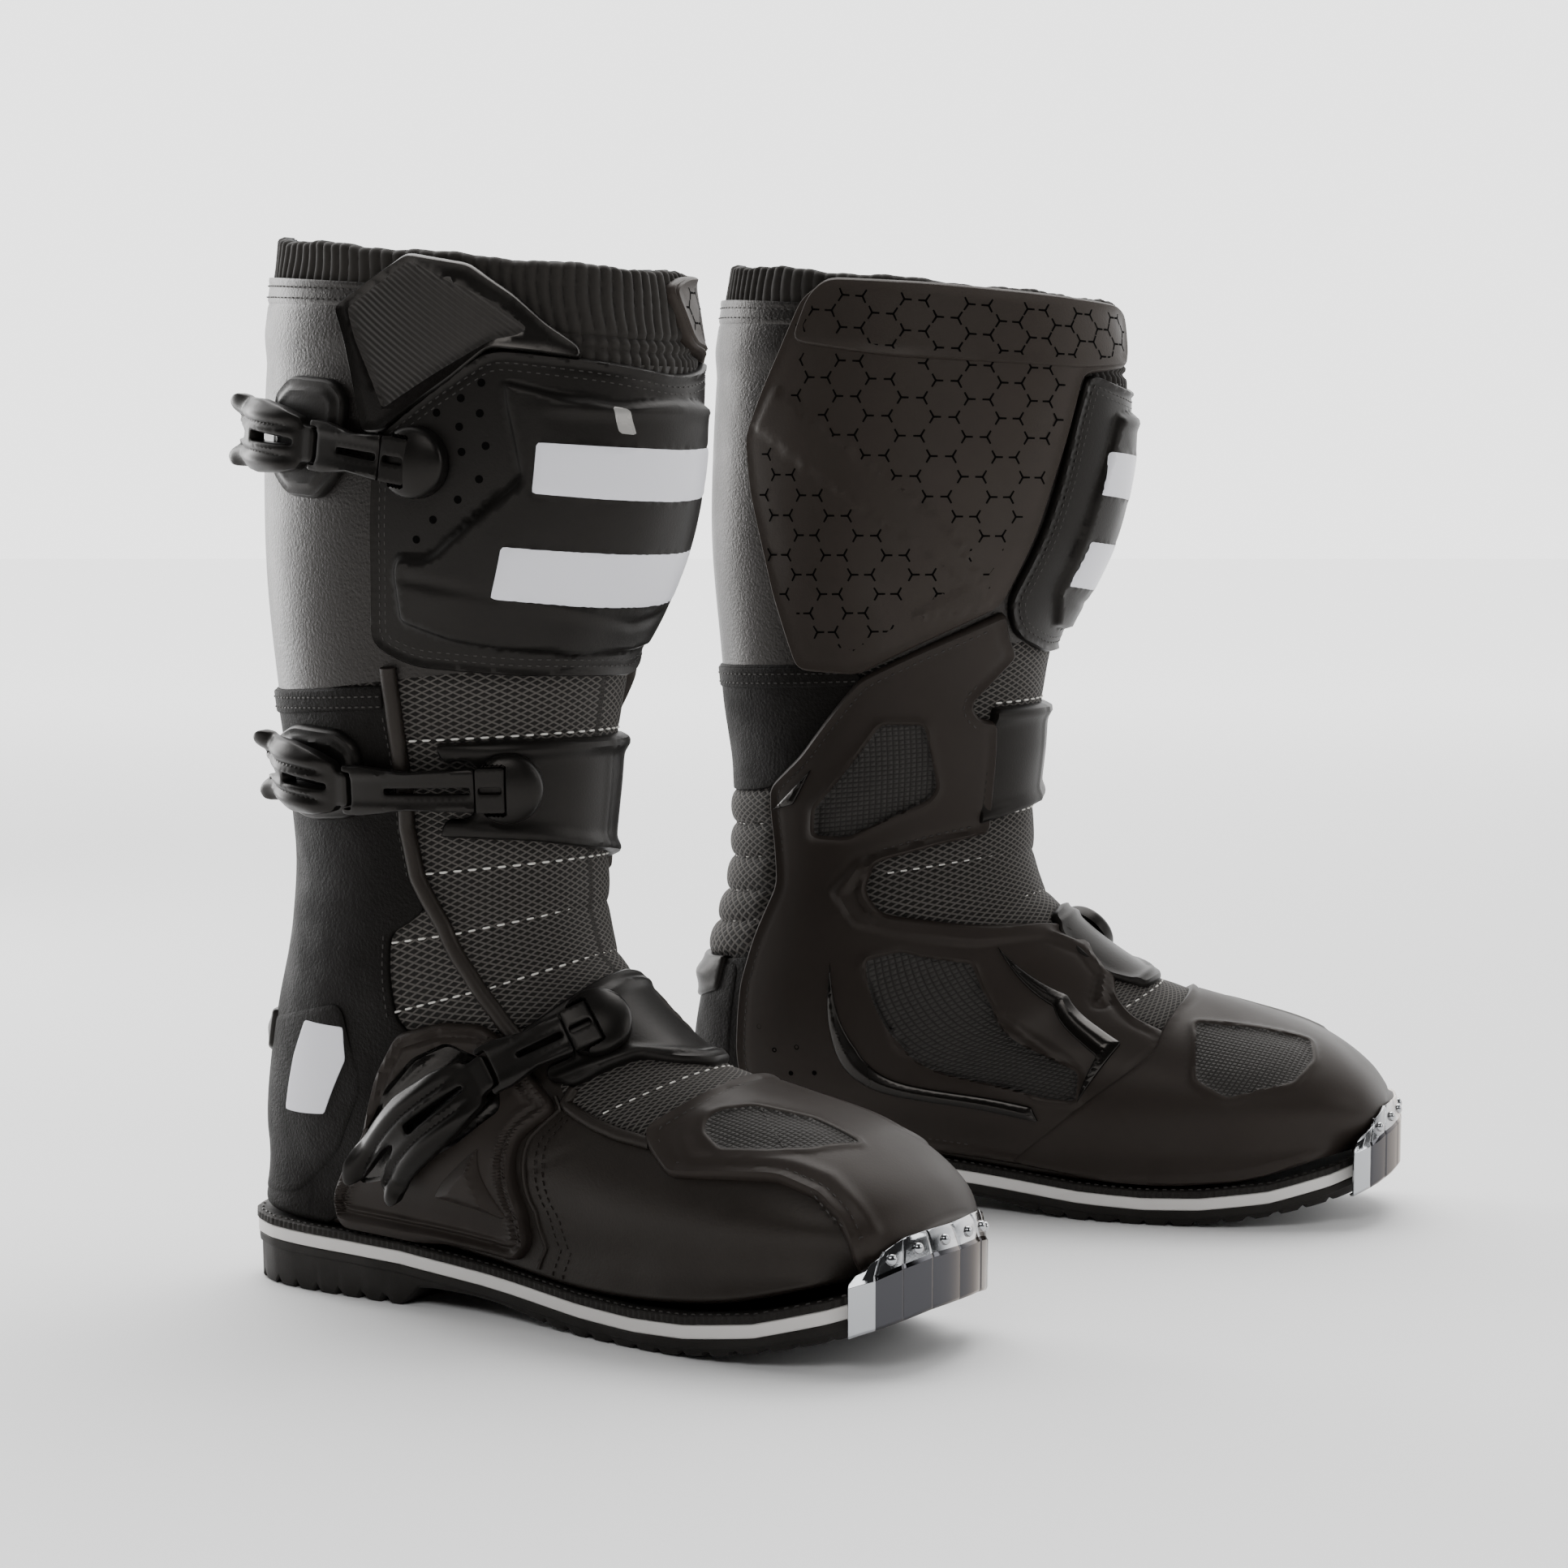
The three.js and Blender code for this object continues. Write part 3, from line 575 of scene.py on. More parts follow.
def spindle(half, shoulder, radius, dip):
    """Template and faces of one sewn stitch: six-sided, 2 x half mm long, full between its
    shoulders and drawn down by dip at both ends."""
    q, i = np.radians(np.arange(6) * 60), np.arange(6)
    j = (i + 1) % 6
    ring = lambda x: np.stack([np.full(6, x), radius * np.cos(q), radius * np.sin(q)], -1)
    points = np.concatenate([[[-half, 0, -dip]], ring(-shoulder), ring(shoulder),
        [[half, 0, -dip]]])
    fans = ((0, 1 + j, 1 + i), (13, 7 + i, 7 + j), (1 + i, 1 + j, 7 + j), (1 + i, 7 + j, 7 + i))
    return points, np.concatenate([np.stack(np.broadcast_arrays(*f), -1) for f in fans])


def stitches(path, lift, closed=False, length=2.2, gap=1.0, radius=0.3):
    """A row of sewn stitches along a (t, a) path: each is a spindle, length mm long, with gap mm
    of leather before the next."""
    at = evenly(path, length + gap, closed)
    ends = np.roll(at, -1, 0) if closed else np.vstack([at[1:], 2 * at[-1:] - at[-2:-1]])
    centre = on_form(*at.T, np.full(len(at), lift))
    ahead = on_form(*ends.T, 0) - on_form(*at.T, 0)
    return stamped(*spindle(length / 2, length * 0.3, radius, radius), centre, ahead,
        outward(*at.T))


# Injection-moulded polyurethane from a fine-sparked mould: black, satin, very faintly pitted.
guard_pu = plain_finish("satin moulded polyurethane", "#0d0c0b", 0.42, 0.2,
    (30, 0.36, 0.5), (0.9, 0.05, 0.6, 12))
# The same polyurethane from a polished mould: darker, with a clear highlight on each facet.
gloss_pu = plain_finish("polished moulded polyurethane", "#0a0908", 0.3, 0.38,
    (40, 0.2, 0.32), (1.2, 0.02, 0.5, 15))
# White pad-printed ink on the plate: opaque, satin, faintly cool.
white_ink = plain_finish("satin white pad-printed ink", "#dcdce2", 0.38, 0.4,
    (20, 0.34, 0.46), (0.8, 0.02, 0.4, 10))
# Grey retro-reflective film, smooth and hard.
film = plain_finish("grey reflective film", "#8d8c89", 0.25, 0.7,
    (10, 0.2, 0.35))
# Bonded polyester thread, black.
thread = plain_finish("bonded black polyester thread", "#2a2928", 0.55, 0.4,
    (4, 0.45, 0.65))

shin_edge = rounded(SHIN_OUTLINE, 7)
shield_edge = rounded(SHIELD, 3)
bars = [rounded(b, 1.2, 4) for b in LIGHT_BARS]
mirror_film = rounded(REFLECTOR, 1, 3)


def shin_rise(t, a, gap):
    """Rolled rim, a sewn-down margin, then the shield: a 3 mm step with a slope 3 mm wide,
    crowned towards its spine and cut by two level creases; the bars stand 0.4 mm proud."""
    place = on_form(t, a)
    inside = within(shield_edge, t, a)
    depth = np.where(inside, gap_to(shield_edge, place), 0)
    shield = 3.0 * smooth(depth, 0, 2.6) + 0.9 * smooth(depth, 3, 22)
    creases = -0.8 * bell(t - 2.60 + 0.004 * np.abs(a), 0.035) * smooth(depth, 2, 6)
    brow = 1.2 * bell(t - 1.19, 0.05) * smooth(50 - a, 0, 20) * smooth(depth, 1.5, 4)
    rim = 0.9 * bell(gap - 1.6, 0.9) - 0.5 * bell(gap - 3.6, 0.8)
    proud = sum(0.4 * within(b, t, a) for b in bars)
    step = sum(-0.35 * np.exp(-(gap_to(b, place) / 0.7) ** 2) for b in bars)
    return shield + creases + brow + rim + proud + step * inside


steps = [inset(evenly(shield_edge, 1.6), g) for g in (1.3, 2.6)]
shin = plate(shin_edge, 2.6, 1.2, 1.7, 0.6, shin_rise, [shield_edge] + steps,
    bars + [mirror_film])
shin["zone"] = np.where(shin["zone"] == 2, 1, shin["zone"])
make_piece("shin_plate_skin", shin, [guard_pu, white_ink, white_ink, film], "shaft", ["shin_plate"],
    crease=58)
rows = [stitches(inset(evenly(shin_edge, 2), g), 3.05, True) for g in (4.6, 7.0)]
make_piece("shin_plate_stitching", joined(rows), [thread], "shaft")


def turned_shape(rings, top, count):
    """Template and faces of a small round shape: rings of (radius, height) from the rim inwards,
    closed by one point at height top."""
    q, i = np.linspace(0, 2 * np.pi, count, endpoint=False), np.arange(count)
    j = (i + 1) % count
    points = np.concatenate([np.stack([r * np.cos(q), r * np.sin(q), np.full(count, z)], -1)
        for r, z in rings] + [[[0, 0, top]]])
    faces, last = [], (len(rings) - 1) * count
    for r in range(0, last, count):
        faces += [(r + i, r + j, r + count + j), (r + i, r + count + j, r + count + i)]
    faces.append((last + i, last + j, np.full(count, last + count)))
    return points, np.concatenate([np.stack(f, -1) for f in faces])


def air_holes(at, lift, radius):
    """Round near-black spots, painted shade in place of open holes, at the (t, a) places, lift mm
    off the leather and dished 0.05 mm.
    """
    rings = ((radius, 0), (radius * 0.8, -0.025), (radius * 0.4, -0.05))
    return stamped(*turned_shape(rings, -0.05, 12), on_form(*at.T, np.full(len(at), lift)),
        slopes(*at.T)[0], outward(*at.T))


# Painted shade: a near-black finish for the air holes, drawn as dark spots rather than openings,
# and for the grooves of the heat guard's marks.
painted_shade_black = plain_finish("near-black painted shade of holes and grooves", "#040404", 0.9, 0.05,
    (3, 0.85, 0.95))
make_piece("shin_plate_air_holes", air_holes(AIR_HOLES, 3.3, 1.5),
    [painted_shade_black], "shaft")

# ---- Closure flap and inner heat guard --------------------------------------------------------
# The outer shaft closes under a kite-shaped rubber flap, ribbed on the slant. The inner side,
# which rests against hot engine cases, carries a thick polyurethane sheet moulded with small
# three-legged marks at the corners of a honeycomb; its top strip is a second, turned-over layer.
FLAP = np.array([
    [0.0, 79], [0.05, 62], [0.30, 50], [0.54, 42], [0.73, 33], [0.84, 33], [0.80, 45], [0.77, 57],
        [1.00, 66], [1.38, 84], [1.38, 90], [0.74, 97],
    [0.48, 101]])
FLAP_FIELD = np.array([[0.07, 78], [0.36, 57], [0.60, 47], [0.66, 50], [0.70, 56], [0.98, 71],
    [1.22, 84], [0.73, 93], [0.49, 96]])
HEAT_GUARD = np.array([
    [0.05, -112], [0.22, -120], [0.75, -127], [1.37, -137], [1.75, -134], [2.50, -124],
    [3.10, -114], [3.15, -92], [2.62, -48], [1.71, -43], [0.80, -35], [0.70, -8], [0.12, 0],
    [0.02, -10], [0.0, -50], [0.0, -82]])
TOP_STRIP = np.array([
    [0.03, -112], [0.20, -118], [0.62, -122], [0.72, -92], [0.75, -36], [0.68, -9], [0.14, -1],
    [0.03, -11], [0.0, -50], [0.0, -82]])
PLAIN_BAND = np.array([[0.98, -127], [1.28, -133], [2.44, -63], [2.70, -80], [2.62, -51],
    [1.95, -75]])

# Rubber moulded in slanting ribs about 1.6 mm apart.
rib_rubber, tree, shader, where = surface("slant ribbed rubber", "#131211", 0.5, "leather",
    Specular_IOR_Level=0.4)
worn(tree, shader, where, 30, 0.44, 0.58)
ribs = add_node(tree, "ShaderNodeTexWave", {"Vector": where, "Scale": 0.277},
    bands_direction="DIAGONAL")
bump = add_node(tree, "ShaderNodeBump", {"Height": ribs.outputs["Fac"], "Strength": 0.7,
    "Distance": 0.0004})
tree.links.new(bump.outputs["Normal"], shader.inputs["Normal"])
# Heat-resistant polyurethane sheet: matt, brown-black, with a leathery haze.
heat_pu = plain_finish("matt heat resistant polyurethane", "#29231f", 0.55, 0.3,
    (35, 0.46, 0.62), (1.0, 0.06, 0.7, 14))

flap_edge = rounded(FLAP, 3)
field = rounded(FLAP_FIELD, 1.5, 3)


def flap_rise(t, a, gap):
    """A raised rim 1 mm high that falls 0.9 mm to the ribbed field, with a rolled outer edge."""
    inside = within(field, t, a)
    depth = np.where(inside, gap_to(field, on_form(t, a)), 0)
    return 0.5 * bell(gap - 1.5, 0.8) - 0.9 * smooth(depth, 0, 1.0)


make_piece("closure_flap_skin", plate(flap_edge, 2.2, 1.2, 1.8, 2.4, flap_rise, [], [field]),
    [gloss_pu, rib_rubber], "shaft", ["closure_flap"])

heat_edge, strip_edge = rounded(HEAT_GUARD, 5), rounded(TOP_STRIP, 6)


def heat_rise(t, a, gap):
    """A rolled rim, and a plain sloping band pressed 0.7 mm proud of the marked field."""
    band = within(PLAIN_BAND, t, a)
    depth = np.where(band, gap_to(PLAIN_BAND, on_form(t, a)), 0)
    return (0.6 * bell(gap - 1.5, 0.9) + 0.7 * smooth(depth, 0, 1.2)
        + 0.35 * np.sin(t * 3.1 + np.radians(a) * 2.3) * smooth(gap, 3, 15))


make_piece("heat_guard_sheet", plate(heat_edge, 2.2, 1.2, 2.2, 1.4, heat_rise, [PLAIN_BAND]),
    [heat_pu], "shaft", ["heat_guard"])
strip_rise = lambda t, a, gap: (0.8 * bell(gap - 1.6, 1.0)
    + 0.4 * smooth(0.14 - t, 0, 0.14))
make_piece("heat_guard_top_strip", plate(strip_edge, 1.6, 1.2, 2.2, 2.5, strip_rise), [heat_pu],
    "shaft")

# The three-legged marks are flat near-black shapes set just above the sheet: painted shade for the
# moulded grooves.
HONEYCOMB = 9.0
mark_down, mark_round = slopes(np.array([1.2]), np.array([-80.0]))
per = np.array([np.linalg.norm(mark_down), np.linalg.norm(mark_round)])
i, j = np.meshgrid(np.arange(-12, 13), np.arange(-20, 30), indexing="ij")
base = np.stack([0.866 * i + 1.732 * j, 1.5 * i], -1).reshape(-1, 2) * HONEYCOMB
marks = np.concatenate([base, base + [0, HONEYCOMB]]) / per + [1.2, -80.0]
turn = np.repeat([1.0, -1.0], len(base))
place = on_form(*marks.T)
ok = (within(heat_edge, *marks.T) & (gap_to(heat_edge, place) > 4.5)
    & ~within(PLAIN_BAND, *marks.T) & (gap_to(strip_edge, place) > 2.4)
    & (gap_to(PLAIN_BAND, place) > 2.5))
marks, turn = marks[ok], turn[ok]
arms, tris = [], []
for q in np.radians([0, 120, 240]):
    for along, across in ((0.0, -0.42), (3.1, -0.36), (3.1, 0.36), (0.0, 0.42)):
        arms.append([along * math.cos(q) - across * math.sin(q),
            along * math.sin(q) + across * math.cos(q), 0])
    n = len(arms) - 4
    tris += [(n, n + 1, n + 2), (n, n + 2, n + 3)]
down, round_ = slopes(*marks.T)
ahead = round_ * turn[:, None]
in_strip = within(strip_edge, *marks.T)
high = np.where(in_strip, 4.16 + 0.4 * smooth(0.14 - marks[:, 0], 0, 0.14),
    3.66 + heat_rise(*marks.T, np.full(len(marks), 20.0)))
make_piece("heat_guard_marks", stamped(np.array(arms), np.array(tris),
    on_form(*marks.T, high), ahead, outward(*marks.T)),
    [painted_shade_black], "shaft")

# ---- Flexing ankle: fabric, leather quarters and rear folds -----------------------------------
# Below the shin the shaft bends. Its front is stretch mesh quilted by white thread into level
# pads, the outer quarter is matt leather joined to it by a fat piping, and the back is a set of
# mesh folds between the leather edges. On the real boot all this bends as the shaft tips on the
# foot; most of these pieces are laid in place on neither body.
MESH_CELL = (5.0, 2.6)
FLEX = (118, 178)
PADS = np.array([[2.9, 2.9], [3.47, 3.47], [4.67, 4.67], [5.23, 5.44], [6.10, 6.29], [6.9, 7.0]])
FOLDS = np.array([4.12, 4.48, 4.86, 5.24, 5.60, 5.96])
PIPING = np.array([[2.92, 78.5], [3.20, 77], [3.56, 76.5], [4.18, 76], [4.69, 72], [5.29, 62],
    [6.04, 54], [6.61, 50], [7.20, 48]])
QUARTER = np.array([
    [3.05, 79], [3.08, 130], [3.06, 180], [3.06, 262], [3.22, 271], [3.60, 256], [3.90, 243],
    [4.10, 228], [4.12, 216],
    [4.12, 172], [4.20, 165], [5.0, 162], [5.85, 163], [5.97, 170], [6.0, 200], [6.02, 229],
    [6.8, 228], [7.50, 222], [7.72, 200], [7.70, 180], [7.74, 160], [8.35, 157], [8.38, 142],
    [7.95, 114], [7.3, 92], [6.72, 74], [6.36, 80.5], [5.32, 82], [5.20, 74], [5.02, 68],
    [4.69, 73.5],
    [4.18, 77.5], [3.56, 78], [3.20, 78.5]])

# Warp-knitted polyester stretch mesh: long cells 5 by 2.6 mm, black holes inside grey threads.
mesh_knit, tree, shader, where = surface("warp knitted stretch mesh", "#242322", 0.75, "leather",
    Specular_IOR_Level=0.3)


def math_node(tree, operation, *values):
    """One arithmetic node fed with numbers or sockets; gives back its result."""
    return add_node(tree, "ShaderNodeMath", dict(enumerate(values)), operation=operation).outputs[0]


axes = add_node(tree, "ShaderNodeSeparateXYZ", {"Vector": where})
across = math_node(tree, "DIVIDE", math_node(tree, "PINGPONG", axes.outputs["X"], MESH_CELL[0] / 2),
    MESH_CELL[0] / 2)
along = math_node(tree, "DIVIDE", math_node(tree, "PINGPONG", axes.outputs["Y"], MESH_CELL[1] / 2),
    MESH_CELL[1] / 2)
cell = math_node(tree, "ABSOLUTE",
    math_node(tree, "SUBTRACT", math_node(tree, "ADD", across, along), 1.0))
thread_mask = add_node(tree, "ShaderNodeMapRange", {"Value": cell, "From Min": 0.46,
    "From Max": 0.16}, interpolation_type="SMOOTHSTEP")
tone = add_node(tree, "ShaderNodeMix", {"Factor": thread_mask.outputs["Result"],
    6: (*linear("#050505"), 1), 7: (*linear("#4b4845"), 1)},
    data_type="RGBA")
tree.links.new(tone.outputs[2], shader.inputs["Base Color"])
bump = add_node(tree, "ShaderNodeBump", {"Height": thread_mask.outputs["Result"], "Strength": 0.9,
    "Distance": 0.0006})
tree.links.new(bump.outputs["Normal"], shader.inputs["Normal"])
# White sewing thread, slightly soiled.
white_thread = plain_finish("white bonded thread", "#cfccc6", 0.6, 0.3,
    (5, 0.5, 0.7))
# Soft satin leather of the piping and the smooth parts of the foot.
satin_leather = plain_finish("satin dressed leather", "#1d1916", 0.42, 0.25,
    (30, 0.38, 0.52), (1.1, 0.07, 0.8, 9))

t, a = lines_between((2.82, 3.0), (7.05, 6.15), 132, 150)
wrapped = (a + 180) % 360 - 180
toward = smooth(wrapped, -90, 90)
lines = [PADS[i, 0] + (PADS[i, 1] - PADS[i, 0]) * toward for i in range(len(PADS))]
puff = np.zeros_like(t)
for upper_line, lower_line in zip(lines[:-1], lines[1:]):
    s = np.clip((t - upper_line) / (lower_line - upper_line), 0, 1)
    puff = np.maximum(puff, 1.6 * np.sqrt(np.clip(4 * s * (1 - s), 0, 1))
        * (0.5 + 0.5 * smooth(t, 4.3, 5.2)))
rear = smooth(np.abs((a % 360) - 196), 42, 30) * smooth(t, 4.0, 4.12) * smooth(t, 6.05, 5.95)
rear_puff = np.zeros_like(t)
for high_fold, low_fold in zip(FOLDS[:-1], FOLDS[1:]):
    s = np.clip((t - high_fold) / (low_fold - high_fold), 0, 1)
    rear_puff = np.maximum(rear_puff, 3.6 * np.sqrt(np.clip(4 * s * (1 - s), 0, 1)))
side = smooth(np.abs(wrapped), 100, 84) * (1 - 0.75 * smooth(wrapped, 50, 72))
tuck = -1.2 * (1 - smooth(t, 2.85, 3.05))
lift = puff * side * smooth(t, 2.9,
    3.1) + (rear_puff - 0.8) * rear - 0.9 * (1 - rear) * (1 - side) + tuck
flex = sleeve(t, a, lift - 0.2, 2.6)
for pad in make_piece("ankle_stretch_mesh", flex, [mesh_knit, lining], "shaft",
    ["front_bellows", "rear_bellows"], crease=70, bend=FLEX):
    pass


def tube(path, lift, radius, sides=12, step=2.0):
    """A round cord laid along a (t, a) path, its centre lift mm off the leather, closed at its
    ends; lift may be a number or one number per corner of the path."""
    at = evenly(path, step, False)
    run = np.linspace(0, 1, len(at))
    high = np.interp(run, np.linspace(0, 1, len(np.atleast_1d(lift))), np.atleast_1d(lift))
    r = np.interp(run, np.linspace(0, 1, len(np.atleast_1d(radius))), np.atleast_1d(radius))
    centre = on_form(*at.T, high)
    ahead = np.gradient(centre, axis=0)
    ahead /= np.linalg.norm(ahead, axis=1, keepdims=True)
    up = outward(*at.T)
    up -= (up * ahead).sum(1, keepdims=True) * ahead
    up /= np.linalg.norm(up, axis=1, keepdims=True)
    out = np.cross(ahead, up)
    q = np.radians(np.arange(sides) * 360 / sides)
    ring = centre[:, None] + r[:, None, None] * (np.cos(q)[None, :, None] * up[:, None]
        + np.sin(q)[None, :, None] * out[:, None])
    n = len(at)
    i, j = np.meshgrid(np.arange(n - 1), np.arange(sides), indexing="ij")
    k = (j + 1) % sides
    faces = np.stack([i * sides + j, i * sides + k, (i + 1) * sides + k, (i + 1) * sides + j], -1)
    faces = [tuple(f) for f in faces.reshape(-1, 4)[:, ::-1].tolist()]
    faces += [tuple(range(sides)), tuple(range(n * sides - 1, (n - 1) * sides - 1, -1))]
    return {"points": ring.reshape(-1, 3), "faces": faces}


make_piece("ankle_piping", tube(PIPING, 1.2, 3.1), [satin_leather], "shaft", bend=FLEX)
quarter_edge = rounded(QUARTER, 4)
quarter_rise = lambda t, a, gap: (0.35 * np.sin(t * 5.0 + np.radians(a) * 3) * smooth(gap, 3, 18)
    * smooth(7.4 - t, 0, 0.5))
make_piece("matt_leather_quarter", plate(quarter_edge, 1.3, 1.0, 2.6, -0.1, quarter_rise, sink=1.6),
    [ankle_leather], "shaft", bend=FLEX)
SEAM_BAND = np.array([[3.06, 80.5], [3.09, 130], [3.08, 180], [3.08, 266], [3.24, 270],
    [3.24, 180], [3.25, 130], [3.22, 80.5]])
make_piece("calf_seam_band", plate(SEAM_BAND, 0.9, 0.8, 1.8, 1.1), [ankle_leather], "shaft")

dashes = [stitches(np.array(row), height, False, 3.6, 1.9, 0.42) for row, height in (
    ([[3.47, 72], [3.47, 40], [3.47, 0], [3.47, -38]], 0.15),
    ([[4.67, 68], [4.67, 30], [4.67, 0], [4.67, -40]], 0.15),
    ([[5.44, 57], [5.36, 25], [5.27, 0], [5.23, -40], [5.23, -80]], 0.15),
    ([[6.29, 48], [6.22, 25], [6.14, 0], [6.11, -22]], 0.15),
    ([[5.44, 80], [5.44, 65]], 0.15), ([[6.29, 80], [6.29, 56]], 0.15))]
dashes += [stitches(np.array([[f, 168.0], [f, 195], [f, 226]]), -0.55, False, 3.2, 1.6, 0.4)
    for f in FOLDS[1:-1]]
make_piece("white_quilting_stitches", joined(dashes), [white_thread], "shaft", bend=FLEX)
rows = [stitches(np.array(row), height) for row, height in (
    ([[3.125, 82], [3.135, 130], [3.13, 180], [3.13, 265]], 2.1),
    ([[3.20, 82], [3.205, 130], [3.20, 180], [3.20, 266]], 2.1),
    ([[3.3, 81], [3.56, 80], [4.18, 79.5], [4.65, 76]], 1.2),
    ([[5.36, 84], [6.30, 83]], 1.2), ([[4.24, 167], [5.0, 165], [5.85, 165.5]], 1.2),
    ([[0.335, 95], [0.335, 130], [0.335, 180], [0.335, 236]], 2.75),
    ([[0.42, 98], [0.42, 130], [0.42, 180], [0.42, 236]], 2.75))]
make_piece("ankle_seam_stitching", joined(rows), [thread], "shaft", bend=FLEX)

# ---- Middle strap band ------------------------------------------------------------------------
# A moulded band round the front of the ankle, tied to the shaft: two thick rims with a hollow
# between them, parting at the outer end to make a fork round the strap's button.
MID_BAND = np.array([
    [3.50, 64], [3.49, 40], [3.52, 0], [3.50, -42], [4.10, -46], [4.76, -47], [4.66, -25],
    [4.60, -5], [4.42, 30], [4.30, 64], [4.13, 62], [4.15, 54], [4.03, 50], [3.88, 49],
    [3.72, 50], [3.64, 54], [3.65, 62]])
band_edge = rounded(MID_BAND, 2.5)


def band_rise(t, a, gap):
    """Rims 2 mm high along the long edges, tapering away at the fork's two tips."""
    upper = np.abs(t - 3.58) * 46
    lower = np.abs(t - np.interp(-a, [-64, -30, 5, 46], [4.22, 4.34, 4.52, 4.66])) * 40
    rim = bell(upper, 3.0) + bell(lower, 3.2)
    return 2.0 * rim * smooth(a, 66, 40) * smooth(gap, 0.2, 1.5) + 0.5 * bell(a + 6, 2.0)


make_piece("middle_strap_band", plate(band_edge, 2.4, 1.4, 1.6, 0.8, band_rise), [guard_pu],
    "shaft", ["mid_band"])

# ---- Inner ankle guard ------------------------------------------------------------------------
# One large soft polyurethane skin covers the inner ankle from the heat guard to the sole, notched
# at the front so the ankle can bend. Two sunk windows carry a cross-hatched grip against the
# motorcycle's frame; glossy blades stand beside them, and small air holes dot the heel.
GUARD_SKIN = np.array([
    [2.66, -45], [2.95, -72], [3.18, -92], [3.80, -116], [4.08, -131], [4.35, -131], [5.21, -125],
    [5.9, -131], [6.26, -134], [6.71, -134], [7.52, -137], [7.9, -150], [8.2, -164], [9.0, -160],
    [9.62, -152], [9.60, -100], [9.64, -60], [9.46, -46], [8.98, -43], [8.42, -33], [7.97, -20],
    [7.40, -14], [6.85, -16], [6.66, -24], [6.35, -48], [5.80, -82], [5.41, -89], [5.05, -86],
    [4.93, -62], [4.88, -40], [3.62, -40], [3.60, -48], [3.46, -52], [3.25, -42], [3.05, -33],
    [2.86, -40]])
NOTCH_RIDGE = np.array([[4.93, -50], [4.98, -70], [5.08, -91], [5.40, -98], [5.82, -90],
    [6.10, -75], [6.50, -53], [6.82, -28], [7.35, -20], [7.95, -26], [8.40, -40]])
WINDOWS = [np.array([[3.57, -85], [3.60, -70], [4.24, -65], [4.36, -68], [4.70, -97], [4.64, -110],
    [4.34, -110]]),
    np.array([[6.34, -88], [6.36, -77], [6.83, -58], [7.6, -62], [9.20, -80], [9.42, -95],
    [9.2, -97], [7.61, -88]])]
BLADES = [np.array([[3.92, -111], [4.33, -129], [4.28, -119]]),
    np.array([[6.22, -99], [7.53, -104], [9.37, -111], [9.21, -103], [7.40, -98]]),
    np.array([[6.71, -48], [8.00, -44], [9.21, -60], [9.45, -97], [9.16, -70], [8.07, -51]])]
HEEL_HOLES = np.array([[6.22, -124], [6.22, -117], [6.24, -110], [6.46, -125], [6.48, -118],
    [6.50, -111], [6.72, -124], [6.75, -117], [6.78, -110], [7.02, -120],
    [7.08, -113], [7.40, -118], [7.52, -112]])

# Polyurethane cross-hatched with 2 mm pyramids, for grip; its colour runs from dark grey on the
# pyramids to near black between them, painted shade in the valleys.
grip, tree, shader, where = surface("cross hatched grip rubber", "#1a1918", 0.6, "leather",
    Specular_IOR_Level=0.35)
worn(tree, shader, where, 8, 0.55, 0.68)
axes = add_node(tree, "ShaderNodeSeparateXYZ", {"Vector": where})
stud = math_node(tree, "MINIMUM", math_node(tree, "PINGPONG", axes.outputs["X"], 1.0),
    math_node(tree, "PINGPONG", axes.outputs["Y"], 1.0))
tone = add_node(tree, "ShaderNodeMapRange", {"Value": stud, "From Max": 0.45}).outputs["Result"]
painted_valley_shade = add_node(tree, "ShaderNodeMix", {"Factor": tone, 6: (*linear("#060606"), 1),
    7: (*linear("#2a2928"), 1)}, data_type="RGBA")
tree.links.new(painted_valley_shade.outputs[2], shader.inputs["Base Color"])
bump = add_node(tree, "ShaderNodeBump", {"Height": stud, "Strength": 0.9, "Distance": 0.0006})
tree.links.new(bump.outputs["Normal"], shader.inputs["Normal"])

skin_edge = rounded(GUARD_SKIN, 4)
windows = [rounded(w, 2.6) for w in WINDOWS]
blades = [rounded(b, 0.6, 2) for b in BLADES]


def guard_rise(t, a, gap):
    """Rolled rim and stitched margin, a ridge along the notch, windows sunk 1.3 mm inside a
    raised lip, and a slow swell over the ankle bone; the rim sinks under the toe guard."""
    place = on_form(t, a)
    rise = 0.7 * bell(gap - 1.8, 1.1) - 0.4 * bell(gap - 4.6, 0.9)
    ridge = gap_to(NOTCH_RIDGE, place, False)
    rise += 1.7 * bell(ridge, 2.0) - 0.5 * bell(ridge - 4.2, 1.0)
    for w in windows:
        d = np.where(within(w, t, a), 1, -1) * gap_to(w, place)
        rise += 0.9 * bell(d + 1.3, 1.2) - 1.3 * smooth(d, -0.4, 0.9) \
            + 0.7 * smooth(d, 3, 16)
    rise -= (0.35 + 0.7 * bell(gap - 1.8, 1.1)) * smooth(t, 9.0, 9.4)
    return rise + 1.5 * np.exp(-((t - 5.5) / 0.9) ** 2 - ((a + 100) / 22) ** 2)


